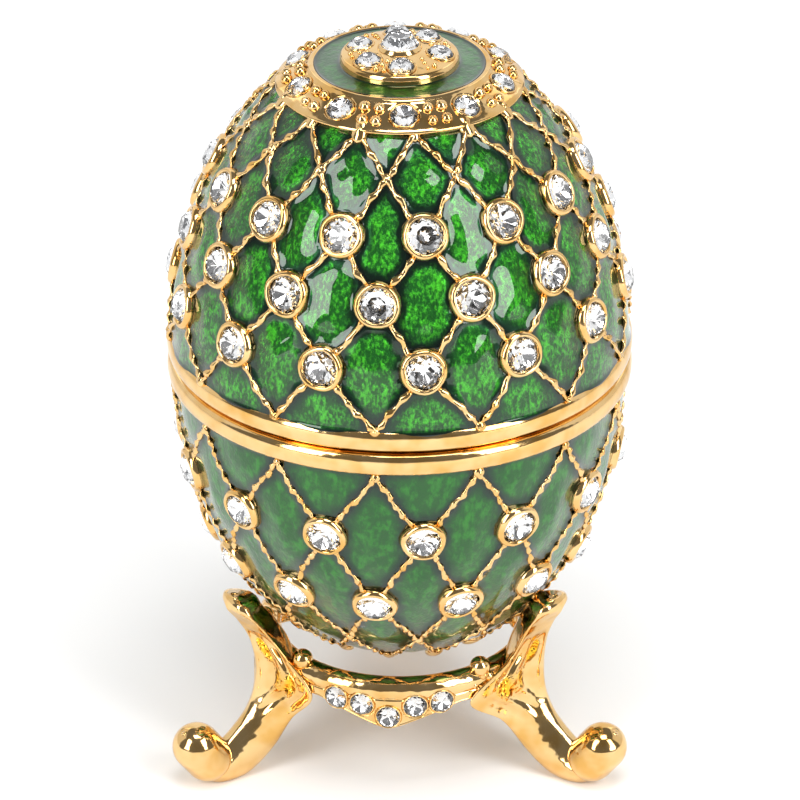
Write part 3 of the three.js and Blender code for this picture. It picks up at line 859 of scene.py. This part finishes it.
# %% Cut stones and their foil
KITE_SPREAD, KITE_DROP = 0.80, 0.42
BACK_SPREAD, BACK_RISE = 0.48, 0.40
GIRDLE_EDGE = 0.05
FOIL_GAP = 0.02
EIGHT, SIXTEEN = np.arange(8), np.arange(16)
NEXT_EIGHT, NEXT_SIXTEEN = (EIGHT + 1) % 8, (SIXTEEN + 1) % 16
LATTICE_CUT = (1.69, 0.56, 0.98, 1.26, -0.22)
SMALL_CUT = (1.26, 0.06, 0.74, 0.60, -0.34)
SWAG_CUT = (1.17, 0.06, 0.68, 0.52, -0.34)
CENTRE_CUT = (1.85, 0.30, 1.20, 1.30, -0.34)


def pavilion(girdle, girdle_height, culet, gap):
    """The back of a stone, a gap lower: 16 points at the girdle, 8 on the way down, and the tip."""
    back_height = culet + (girdle_height - culet) * BACK_RISE
    return [around(girdle, full_turn(16), girdle_height - GIRDLE_EDGE - gap),
            around(girdle * BACK_SPREAD, full_turn(8) + 22.5, back_height - gap), [[0, 0, culet - gap]]]


def pavilion_faces(low):
    """Its facets, from the number of its first point: sixteen below the girdle, and eight kites to the tip."""
    deep, tip = low + 16, np.full(8, low + 24)
    first, second, third = (low + (2 * EIGHT + k) % 16 for k in range(3))
    lowers = [np.stack([deep + EIGHT, second, first], -1), np.stack([deep + EIGHT, third, second], -1)]
    return np.concatenate(lowers), np.stack([third, deep + EIGHT, tip, deep + NEXT_EIGHT], -1)


def brilliant(girdle, girdle_height, table, top, culet):
    """A round brilliant about +Z: rings of 8, 8, 16, 16 and 8 points, and one point at the bottom."""
    kite_height = top - (top - girdle_height) * KITE_DROP
    points = np.concatenate([
        around(table, full_turn(8), top), around(girdle * KITE_SPREAD, full_turn(8) + 22.5, kite_height),
        around(girdle, full_turn(16), girdle_height), *pavilion(girdle, girdle_height, culet, 0)])
    front, rim, low = 8, 16, 32
    first, second, third = (rim + (2 * EIGHT + k) % 16 for k in range(3))
    stars = np.stack([EIGHT, front + EIGHT, NEXT_EIGHT], -1)
    kites = np.stack([NEXT_EIGHT, front + EIGHT, third, front + NEXT_EIGHT], -1)
    uppers = np.concatenate([
        np.stack([front + EIGHT, first, second], -1), np.stack([front + EIGHT, second, third], -1)])
    edge = np.stack([rim + SIXTEEN, low + SIXTEEN, low + NEXT_SIXTEEN, rim + NEXT_SIXTEEN], -1)
    return shell(points, EIGHT[None, :], stars, kites, uppers, edge, *pavilion_faces(low))


def foil_cup(girdle, girdle_height, culet, bottom):
    """A closed cup whose hollow follows the pavilion, a hair below it."""
    points = np.concatenate([
        *pavilion(girdle, girdle_height, culet, FOIL_GAP), around(girdle * 0.98, full_turn(16), bottom)])
    foot = 25
    walls = np.stack([SIXTEEN, NEXT_SIXTEEN, foot + NEXT_SIXTEEN, foot + SIXTEEN], -1)
    return shell(points, *pavilion_faces(0), walls, (foot + SIXTEEN)[None, ::-1])


print("facets of a crystal:", sum(len(block) for block in brilliant(*LATTICE_CUT)[1]))

# %% [markdown]
# Setting the stones. A crystal and its foil go on every seat, and each is turned by its own angle, so no
# two catch the light alike.

# %% Crystals of the lattice
FOIL_THICKNESS = 0.05


def set_stones(name, cut, seats, replaces=()):
    """Crystals and foil cups on a list of seats, each turned by its own angle."""
    girdle, girdle_height, _, _, culet = cut
    turned_seats = spun(seats)
    stones = stamped(brilliant(*cut), turned_seats)
    foils = stamped(foil_cup(girdle, girdle_height, culet, culet - FOIL_THICKNESS), turned_seats)
    make_piece(f"{name}_crystals", stones, CRYSTAL, "crystal", replaces=replaces, smooth=False)
    make_piece(f"{name}_foil", foils, FOIL, "crystal", smooth=False)


set_stones("lid", LATTICE_CUT, LID["seats"])
set_stones("bowl", LATTICE_CUT, BOWL["seats"])

# %% [markdown]
# The gold top carries ten small crystals on its sloping ring, and the disc in the middle of the green
# channel has six more round a larger one. Both slopes are given by two [radius, height] points, and a
# seat on a slope leans outwards with it.

# %% Crystals of the gold top
RING_SLOPE = ((8.45, 29.95), (12.0, 27.95))
DISC_SLOPE = ((1.9, 31.5), (4.2, 31.15))
RING_RADIUS, DISC_RADIUS = 10.25, 4.0
ring_angles = 2.3 + full_turn(10)
crown_angles = np.array([2.0, 77.0, 138.0, 183.0, 253.0, 311.0])


def cone_seats(radius, degrees, height, lean):
    """Seats on a slope round the axis: lean is the slope's angle, 0 for a level top."""
    degrees = np.asarray(degrees, float)
    outs = around(math.sin(lean), degrees, math.cos(lean))
    sides = around(1, degrees + 90, np.zeros_like(degrees))
    return around(radius, degrees, height), sides, np.cross(outs, sides), outs


def slope_seats(slope, radius, degrees, lift=0.0):
    """Seats at a radius on a slope between two [radius, height] points."""
    (inner, top), (outer, foot) = slope
    height = top - (radius - inner) * (top - foot) / (outer - inner)
    return cone_seats(radius, degrees, height + lift, math.atan2(top - foot, outer - inner))


ring_seats = slope_seats(RING_SLOPE, RING_RADIUS, ring_angles)
crown_seats = slope_seats(DISC_SLOPE, DISC_RADIUS, crown_angles)
centre_seat = cone_seats(0.0, [0.0], DISC_SLOPE[0][1], 0.0)
small_seats = drawn_together([ring_seats, crown_seats])
set_stones("ring", SMALL_CUT, ring_seats, [f"ring_stone_{i + 1}" for i in range(10)])
set_stones("crown", SMALL_CUT, crown_seats, [f"crown_stone_{i + 1}" for i in range(6)])
set_stones("centre", CENTRE_CUT, centre_seat, ["crown_stone_0"])
make_piece("crown_bezels", stamped(SMALL_BEZEL, spun(small_seats)), GOLD, "gold_plate")

# %% [markdown]
# The top itself is one turned shape on a fine grid: the sloping ring, the channel for the green enamel and
# the raised disc. Every point of it that lies under a crystal is pushed down, which makes a pocket for the
# stone without any cutting of one mesh by another.

# %% Casting of the gold top
CROWN_SIDES = 260
CROWN_SPACING = 0.14
CROWN_UNDER = [[NEAR_AXIS, 29.3], [7.9, 29.15], [11.0, 27.3]]
CROWN_TOP = [
    [11.75, 27.55], [11.95, 27.7], [12.05, 27.95], [11.7, 28.2], [8.95, 29.62], [8.75, 29.9], [8.35, 29.98],
    [8.15, 29.7], [5.8, 29.55], [5.75, 30.45], [5.62, 30.82], [4.2, 31.15], [1.9, 31.5], [NEAR_AXIS, 31.52]]
POCKET_DEPTH, POCKET_WALL, POCKET_REACH = 0.5, 0.12, 1


def pocketed(points, seats, radius):
    """Points pushed inwards where they lie within a radius of a seat's axis and near the seat."""
    for centre, out in zip(seats[0], seats[3]):
        off, lift = axis_offset(points, centre, out)
        push = POCKET_DEPTH * (1 - soft_step(off, radius, radius + POCKET_WALL)) * (np.abs(lift) < POCKET_REACH)
        points = points - push[..., None] * out
    return points


def evenly(profile, spacing):
    """A profile's points placed anew, evenly along it."""
    arc = arc_length(profile)
    return placed_at(profile, arc, np.linspace(0, arc[-1], int(arc[-1] / spacing)))


crown_profile = np.concatenate([CROWN_UNDER, evenly(rounded(CROWN_TOP, 0.14), CROWN_SPACING)])
crown_grid = around(crown_profile[:, :1], full_turn(CROWN_SIDES), crown_profile[:, 1:])
crown_grid = pocketed(pocketed(crown_grid, small_seats, 1.3), centre_seat, 1.95)
make_piece("crown_casting", closed_grid(crown_grid), CROWN_GOLD, "gold_plate", replaces=["lid"])

# %% [markdown]
# Between each two crystals of the ring the mould had four small hollows, which came out as pellets, and a
# few smaller ones lie on the disc. The green channel is a ring of enamel with its own small climb at both
# edges. The bezel of the middle crystal is turned with a few more sides, because it shows most.

# %% Middle bezel, pellets and green channel
CENTRE_BEZEL = [
    [NEAR_AXIS, -0.45], [2.2, -0.45], [2.15, -0.05], [2.0, 0.18], [1.92, 0.3], [1.84, 0.3], [1.8, -0.39],
    [NEAR_AXIS, -0.39]]
make_piece("centre_bezel", stamped(bezel(CENTRE_BEZEL, 0.1, 3, 0.01, 32), centre_seat), GOLD, "gold_plate")

RING_PELLETS = ((9.6, -4.0), (9.6, 4.0), (10.9, -3.5), (10.9, 3.5))
DISC_PELLETS = ((4.75, -5.0), (4.75, 5.0), (3.9, -2.0), (3.2, 2.0))
between = ring_angles + 18.0
pellet_seats = drawn_together([
    slope_seats(RING_SLOPE, radius, between + side + chance.uniform(-0.5, 0.5, 10), 0.03)
    for radius, side in RING_PELLETS])
pellet_sizes = chance.uniform(0.88, 1.08, len(pellet_seats[0]))
disc_between = (crown_angles + np.append(crown_angles[1:], crown_angles[0] + 360)) / 2
disc_seats = drawn_together([
    slope_seats(DISC_SLOPE, radius, disc_between + side) for radius, side in DISC_PELLETS])
disc_sizes = chance.uniform(0.35, 0.6, len(disc_seats[0]))
pellets = joined([
    stamped(pellet(0.58, 0.9), pellet_seats, pellet_sizes), stamped(pellet(0.52, 0.9), disc_seats, disc_sizes)])
make_piece("crown_pellets", pellets, GOLD, "gold_plate")

CHANNEL = np.array([
    [5.65, 30.1], [5.75, 30.0], [6.0, 29.9], [6.5, 29.84], [7.1, 29.8], [7.65, 29.8], [7.95, 29.82],
    [8.15, 29.86], [8.25, 29.92], [8.2, 29.5], [7.0, 29.4], [5.7, 29.5]])
channel = ring_grid(around(CHANNEL[:, :1], full_turn(LATHE_SIDES), CHANNEL[:, 1:]))
# The pool value also paints the channel's enamel darker near both edges, partly for the thick glass and partly
# as painted shade.
channel_pool = np.repeat(np.minimum(CHANNEL[:, 0] - 5.65, 8.25 - CHANNEL[:, 0]) * 1.3, LATHE_SIDES)
make_piece("crown_enamel", channel, BOWL_GREEN, "green_enamel", pool=channel_pool)

# %% [markdown]
# The stand's ring. A round moulding runs round the top, and a plate hangs below it, drawn down to a point
# in the middle of each gap between the legs. One section is carried round the axis, with its lower edge
# at a height that depends on the angle. Five crystals are sunk into each swag, in pockets as on the top.

# %% Ring and swags
GAP = 120.0
SWAG = {"turn": -4.6, "reach": 30.0, "low": -36.7, "high": -34.2, "power": 1.2}
RING = {"middle": 13.25, "thickness": 1.25, "top": -31.0, "columns": 480}
PLATE = {"outside": 14.35, "inside": 12.7, "front": -33.05, "back": -33.1, "bend": 0.45}
SWAG_HEIGHTS = np.array([-33.45, -33.7, -34.9, -33.7, -33.45])
SWAG_SPACING = 10.8


def swag_edge(degrees):
    """Height of the plate's lower edge: it falls to a blunt point in the middle of each gap."""
    off = (degrees - SWAG["turn"] + GAP / 2) % GAP - GAP / 2
    share = np.clip(1 - np.abs(off) / SWAG["reach"], 0, 1)
    blunt = share - 0.06 * np.exp(-((1 - share) / 0.07) ** 2)
    return SWAG["high"] + (SWAG["low"] - SWAG["high"]) * np.maximum(blunt, 0) ** SWAG["power"]


def swag_seats():
    """Seats of the five crystals on each swag, on the plate's outer face."""
    degrees = SWAG["turn"] + (np.arange(3)[:, None] * GAP + (np.arange(5) - 2) * SWAG_SPACING).ravel()
    return cone_seats(PLATE["outside"], degrees, np.tile(SWAG_HEIGHTS, 3), math.pi / 2)


def stand_ring():
    """The section carried round: an arc for the moulding, then the plate, down, round its edge and up."""
    degrees = full_turn(RING["columns"])[:, None]
    low, bend, front = swag_edge(degrees), PLATE["bend"], PLATE["front"]
    roll = np.radians(np.linspace(205, -40, 22))
    down, edge = np.linspace(0, 1, 32), np.radians(np.linspace(0, 180, 9))
    middle, half = (PLATE["outside"] + PLATE["inside"]) / 2, (PLATE["outside"] - PLATE["inside"]) / 2
    radii = np.concatenate([
        RING["middle"] + RING["thickness"] * np.cos(roll), np.full(down.size, PLATE["outside"]),
        middle + half * np.cos(edge), np.full(2, PLATE["inside"])])
    height = RING["top"] + RING["thickness"] * (np.sin(roll) - 1)
    heights = np.concatenate([
        np.broadcast_to(height, (len(degrees), height.size)), front + (low + bend - front) * down,
        low + bend - bend * np.sin(edge), low + bend, np.full_like(degrees, PLATE["back"])], axis=1)
    return ring_grid(pocketed(around(radii[None, :], degrees, heights), swag_seats(), 1.2))


make_piece("stand_ring", stand_ring(), RING_GOLD, "gold_plate", replaces=["stand"])
swag_names = [f"swag_stone_{swag + 1}_{i + 1}" for swag in range(3) for i in range(5)]
set_stones("swag", SWAG_CUT, swag_seats(), swag_names)
make_piece("swag_bezels", stamped(SWAG_BEZEL, spun(swag_seats())), CAST_GOLD, "gold_plate")

# %% [markdown]
# The legs. Each leg is stretched over three rails: the prow that faces outwards, the edge of the wing
# beside it and the inner side. They run from the tip that holds the egg down to the toe under the ball.
# Each rail is a smooth curve through a few points of [out, sideways, height].

# %% Rails of a leg
PROW = np.array([
    [19.2, 0, -24.8], [19.3, 0, -25.5], [18.3, 0, -27.0], [17.2, 0, -29.3], [16.7, 0, -33.0],
    [17.1, 0, -35.7], [18.1, 0, -37.9], [20.2, 0, -40.0], [22.0, 0, -41.3], [23.6, 0, -41.2]])
WING = np.array([
    [18.0, 2.1, -24.8], [17.8, 2.5, -25.7], [16.6, 2.7, -27.4], [14.9, 3.4, -30.4], [12.9, 7.1, -34.2],
    [14.4, 4.1, -37.5], [16.2, 2.4, -40.8], [18.9, 1.9, -42.6], [21.6, 1.9, -42.9], [24.1, 1.4, -41.9]])
INNER = np.array([
    [15.9, 0, -24.9], [15.3, 0, -25.8], [13.9, 0, -27.7], [12.5, 0, -30.6], [12.3, 0, -34.2],
    [13.3, 0, -38.2], [15.3, 0, -41.6], [18.3, 0, -44.5], [21.3, 0, -44.7], [24.3, 0, -42.8]])


def rail_curve(rail, along):
    """A smooth curve through the rail's points: a spline whose knots are spaced by root distance."""
    ends = np.concatenate([[2 * rail[0] - rail[1]], rail, [2 * rail[-1] - rail[-2]]])
    position = along * (len(rail) - 1)
    index = np.minimum(position.astype(int), len(rail) - 2)
    share = (position - index)[:, None]
    p0, p1, p2, p3 = (ends[index + k] for k in range(4))
    d0, d1, d2 = (
        np.linalg.norm(b - a, axis=-1, keepdims=True) ** 0.5 for a, b in ((p0, p1), (p1, p2), (p2, p3)))
    leave = ((p1 - p0) / d0 - (p2 - p0) / (d0 + d1) + (p2 - p1) / d1) * d1
    arrive = ((p2 - p1) / d1 - (p3 - p1) / (d1 + d2) + (p3 - p2) / d2) * d1
    cubic = 2 * p1 - 2 * p2 + leave + arrive
    square = -3 * p1 + 3 * p2 - 2 * leave - arrive
    return p1 + share * (leave + share * (square + share * cubic))


print("a leg's prow is", round(arc_length(rail_curve(PROW, np.linspace(0, 1, 200)))[-1], 1), "mm long")

# %% [markdown]
# Between prow and wing the flank is a sunk web, and two ribs cross it and run down into the neck. The
# mould's grain was left in four spots of it. Places on a leg are shares: along it from tip to toe, and
# across the flank from the prow to the wing.

# %% Web, ribs and grain
WEB_DEPTH, RIB_HEIGHT, RIB_WIDTH = 0.75, 0.1, 0.075
WEB_ALONG = ((0.24, 0.33), (0.44, 0.68))
WEB_ACROSS = ((0.10, 0.26), (0.72, 0.9))
RIBS = ((0.30, 0.58, 1.25), (0.37, 0.78, 1.35))
GRAIN_SPOTS = (
    (0.35, 0.24, 0.045, 0.10), (0.45, 0.36, 0.045, 0.09), (0.45, 0.56, 0.045, 0.10), (0.42, 0.76, 0.03, 0.08))


def window(value, rise, fall):
    """0 outside, 1 inside, smooth on the rise and on the fall."""
    return soft_step(value, *rise) * (1 - soft_step(value, *fall))


def flank_relief(along, across):
    """Depth of the sunk web, in millimetres, and where the mould's grain shows.

    Each rib is a line that starts at a place along and across the leg and nears the prow as it falls. The
    web is deepest above and runs out in the neck. A spot of grain is a place, and its length and width.
    """
    open_part = window(along, *WEB_ALONG)
    web = window(across, *WEB_ACROSS) * open_part
    ribs = sum(
        np.exp(-((across - start + (along - first) * fall) / RIB_WIDTH) ** 2)
        * soft_step(along, first - 0.03, first) for first, start, fall in RIBS)
    ribs = np.minimum(ribs, 1)
    spots = sum(
        np.exp(-((along - down) / tall) ** 2 - ((across - aside) / wide) ** 2)
        for down, aside, tall, wide in GRAIN_SPOTS)
    grain = soft_step(spots, 0.35, 0.6) * (1 - 0.7 * ribs)
    return WEB_DEPTH * web * (1 - ribs) - RIB_HEIGHT * ribs * open_part, grain


print("deepest place of the web, mm:", round(float(flank_relief(0.4, 0.3)[0]), 2))

# %% [markdown]
# The section of a leg goes from the prow across the flank to the wing, and then behind it to the inner
# side. Near the tip and below the web it turns into a smooth oval through the same rails, and the corners
# in between are rounded by averaging each section with itself along its outline. Each end is closed by a
# few smaller sections. At the feet the leg is twisted a little against the tip, as on the real stand, and
# the three tips stand at slightly different heights.

# %% Legs
LEG_ROWS, FLANK, BACK = 132, 42, 10
SMOOTHINGS = 7
FLAT_ALONG, FLATNESS = ((0.02, 0.16), (0.52, 0.72)), 0.85
DEEPEST_SHARE = 0.35
END_BENDS = np.radians([75, 50, 25])[:, None, None]
TIP_END, TOE_END = 0.35, 0.6
WING_REACH = 7.1
TIP_LIFTS = (0.8, 0.3, -0.2)
leg_angles = GAP / 2 + np.arange(3) * GAP


def round_section(front, edge, back, turn):
    """A smooth closed curve through a section's front, edge and back: M + cos F + sin E + sin^2 D."""
    middle = ((front + back) / 2)[:, None]
    forwards, sideways = ((front - back) / 2)[:, None], (edge * (0, 1, 0))[:, None]
    shift = (edge * (1, 0, 1))[:, None] - middle
    cosine, sine = np.cos(turn)[None, :, None], np.sin(turn)[None, :, None]
    return middle + cosine * forwards + sine ** 2 * shift + sine * sideways


def half_section(along):
    """One side of all the sections, from prow to inner side, and the grain at each of their points."""
    front, edge, back = (rail_curve(rail, along) for rail in (PROW, WING, INNER))
    across = np.linspace(0, 1, FLANK)
    flank = front[:, None] + (edge - front)[:, None] * across[None, :, None]
    inwards = back[:, None] - flank
    reach = np.linalg.norm(inwards, axis=-1, keepdims=True)
    depth, grain = flank_relief(along[:, None], across[None, :])
    flank = flank + inwards / reach * np.minimum(depth[..., None], DEEPEST_SHARE * reach)
    behind = np.linspace(0, 1, BACK + 1)[1:]
    hollow = edge[:, None] + (back - edge)[:, None] * behind[None, :, None]
    half = np.concatenate([flank, hollow], axis=1)
    turn = np.concatenate([across, 1 + behind]) * math.pi / 2
    roundness = 1 - window(along, *FLAT_ALONG) * FLATNESS
    half = half + (round_section(front, edge, back, turn) - half) * roundness[:, None, None]
    return half, np.concatenate([grain, np.zeros((LEG_ROWS, BACK))], axis=1)


def with_ends(section):
    """The sections with three smaller ones before the tip and three after the toe, each bent further in."""
    middle = section.mean(1, keepdims=True)
    heading = unit(np.gradient(middle, axis=0))
    width = np.linalg.norm(section - middle, axis=-1, keepdims=True).mean(1, keepdims=True)
    shrink, move = np.cos(END_BENDS), np.sin(END_BENDS)
    tip = middle[0] + (section[0] - middle[0]) * shrink - heading[0] * width[0] * move * TIP_END
    toe = middle[-1] + (section[-1] - middle[-1]) * shrink + heading[-1] * width[-1] * move * TOE_END
    return np.concatenate([tip, section, toe[::-1]])


def leg(degrees, tip_lift):
    """One leg: both sides of the sections, smoothed, closed, twisted and turned to the leg's angle."""
    half, grain = half_section(np.linspace(0, 1, LEG_ROWS))
    section = np.concatenate([half, half[:, -2:0:-1] * (1, -1, 1)], axis=1)
    grain = np.concatenate([grain, grain[:, -2:0:-1]], axis=1)
    for _ in range(SMOOTHINGS):
        section = (np.roll(section, 1, axis=1) + 2 * section + np.roll(section, -1, axis=1)) / 4
    section = with_ends(section)
    grain = np.concatenate([grain[:1].repeat(3, 0), grain, grain[-1:].repeat(3, 0)])
    out, side, height = np.moveaxis(section, -1, 0)
    height = np.maximum(height + tip_lift * soft_step(height, -31, -25), FLOOR)
    tip_share = 0.8 * soft_step(height, -33, -24)
    twist = SWAG["turn"] * np.maximum(tip_share, np.minimum(1, np.abs(side) / WING_REACH) ** 2)
    angle = np.radians(degrees + twist)
    x = out * np.sin(angle) + side * np.cos(angle)
    y = -out * np.cos(angle) + side * np.sin(angle)
    return closed_grid(np.stack([x, y, height], -1)), np.concatenate([grain.ravel(), [0, 0]])


legs, grains = zip(*[leg(angle, tip_lift) for angle, tip_lift in zip(leg_angles, TIP_LIFTS)])
grains = np.concatenate(grains)
make_piece("stand_legs", joined(legs), CAST_GOLD, "gold_plate", replaces=["stand"], grain=grains)

# %% [markdown]
# Ball feet, knobs and lumps. The ball of each foot stands on the turned-up toe, so its lower half is drawn
# down to meet it. Beside each leg a smaller ball sits where the ring's moulding ends, and below it the
# mould left a cluster of small lumps.

# %% Ball feet, knobs and lumps
BALL = {"out": 23.5, "height": -39.9, "radius": 2.45}
TOE = {"back": 1.2, "down": 1.65}
KNOB = {"out": 13.8, "height": -30.85, "lean": 0.9, "radius": 1.05, "aside": 20.0}
CLUSTER = 7


def ball_shell(radius, stretch=0.0):
    """A ball about its own middle, its lower half drawn down by a length."""
    angle = np.linspace(-math.pi / 2 + 0.05, math.pi / 2 - 0.05, 30)
    return turned(np.stack([radius * np.cos(angle), radius * np.sin(angle) - stretch * (angle < 0)], -1), 48)


ball_seats = cone_seats(BALL["out"], leg_angles, BALL["height"], math.atan2(TOE["back"], TOE["down"]))
knob_angles = (leg_angles[:, None] + SWAG["turn"] + np.array([-KNOB["aside"], KNOB["aside"]])).ravel()
knob_seats = cone_seats(KNOB["out"], knob_angles, KNOB["height"], KNOB["lean"])
lump_angles = knob_angles.repeat(CLUSTER) + chance.uniform(-4, 4, 6 * CLUSTER)
lump_heights = chance.uniform(-33.4, -31.4, lump_angles.size)
lump_seats = cone_seats(RING["middle"] + RING["thickness"] * 0.85, lump_angles, lump_heights, math.pi / 2)
balls = joined([
    stamped(ball_shell(BALL["radius"], math.hypot(TOE["back"], TOE["down"])), ball_seats),
    stamped(ball_shell(KNOB["radius"]), knob_seats),
    stamped(pellet(0.5, 0.8), lump_seats, chance.uniform(0.6, 1.2, lump_angles.size))])
make_piece("stand_balls", balls, CAST_GOLD, "gold_plate", replaces=["stand"])

# %% [markdown]
# The studio: a pale floor, two soft boxes beside the camera, one above, and large white cards behind and
# beside the egg, which the gold mirrors. The side of the camera stays dark, so the gold has dark accents
# and the enamel shows the soft boxes as crisp patches.

# %% Floor
FLOOR_HALF = 2000.0


def floor_finish():
    """Matt white card, very slightly uneven."""
    card = Finish("floor_card")
    colour = card.blend(card.noise(40.0), (0.95, 0.95, 0.945, 1), (0.97, 0.97, 0.965, 1))
    return card.surface(Base_Color=colour, Roughness=0.9)


floor_mesh = bpy.data.meshes.new("floor")
floor_points = [(x * FLOOR_HALF, y * FLOOR_HALF, FLOOR) for x, y in ((-1, -1), (1, -1), (1, 1), (-1, 1))]
floor_mesh.from_pydata(in_frame(floor_points).tolist(), [], [(0, 1, 2, 3)])
floor_mesh.materials.append(floor_finish())
floor = bpy.data.objects.new("floor", floor_mesh)
bpy.context.scene.collection.objects.link(floor)
floor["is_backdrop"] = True
print("floor height about the seam, mm:", round(FLOOR, 2))

# %% [markdown]
# A lamp is given by its angle round the egg from the front, its angle above the level, its distance, its
# width and height, and its power in watts. The world adds a faint cool light from everywhere.

# %% Lights
LAMPS = (
    ("box_left", -46, 26, 700, 230, 600, 3.2),
    ("box_right", 48, 28, 700, 230, 640, 3.6),
    ("box_top", 15, 76, 700, 340, 240, 2.2),
    ("card_back", 180, 24, 1500, 1700, 1500, 7.0),
    ("card_left", -118, 24, 1500, 1700, 1500, 5.8),
    ("card_right", 118, 24, 1500, 1700, 1500, 5.8))
SKY_COLOUR, SKY_STRENGTH = (0.95, 0.97, 1.0, 1), 0.2


def soft_box(name, azimuth, elevation, distance, width, height, power):
    """A rectangular soft light aimed at the egg."""
    lamp = bpy.data.lights.new(name, "AREA")
    lamp.shape = "RECTANGLE"
    lamp.size, lamp.size_y = width * MM, height * MM
    lamp.energy = power
    box = bpy.data.objects.new(name, lamp)
    bpy.context.scene.collection.objects.link(box)
    rise = math.radians(elevation)
    aim_at(box, around(distance * math.cos(rise), azimuth, distance * math.sin(rise)), (0, 0, 0))


for lamp in LAMPS:
    soft_box(*lamp)
world = bpy.data.worlds.new("studio")
world.use_nodes = True
backdrop = world.node_tree.nodes["Background"]
backdrop.inputs["Color"].default_value = SKY_COLOUR
backdrop.inputs["Strength"].default_value = SKY_STRENGTH
scene = bpy.context.scene
scene.world = world
scene.view_settings.view_transform = "Standard"
scene.view_settings.look = "None"
print("lamps:", len(LAMPS), "and triangles in all:", sum(pieces.values()))

# %% [markdown]
# Last, the sizes: the box of the solid model and the box of the finished one are put side by side, and the size
# of the finished box is printed.

# %% Sizes and finish
low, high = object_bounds()
sizes = {"cad": [list(cad_low), list(cad_high)], "visual": [list(low), list(high)]}
print("size of the finished box, mm:", [round((b - a) / MM, 2) for a, b in zip(low, high)])
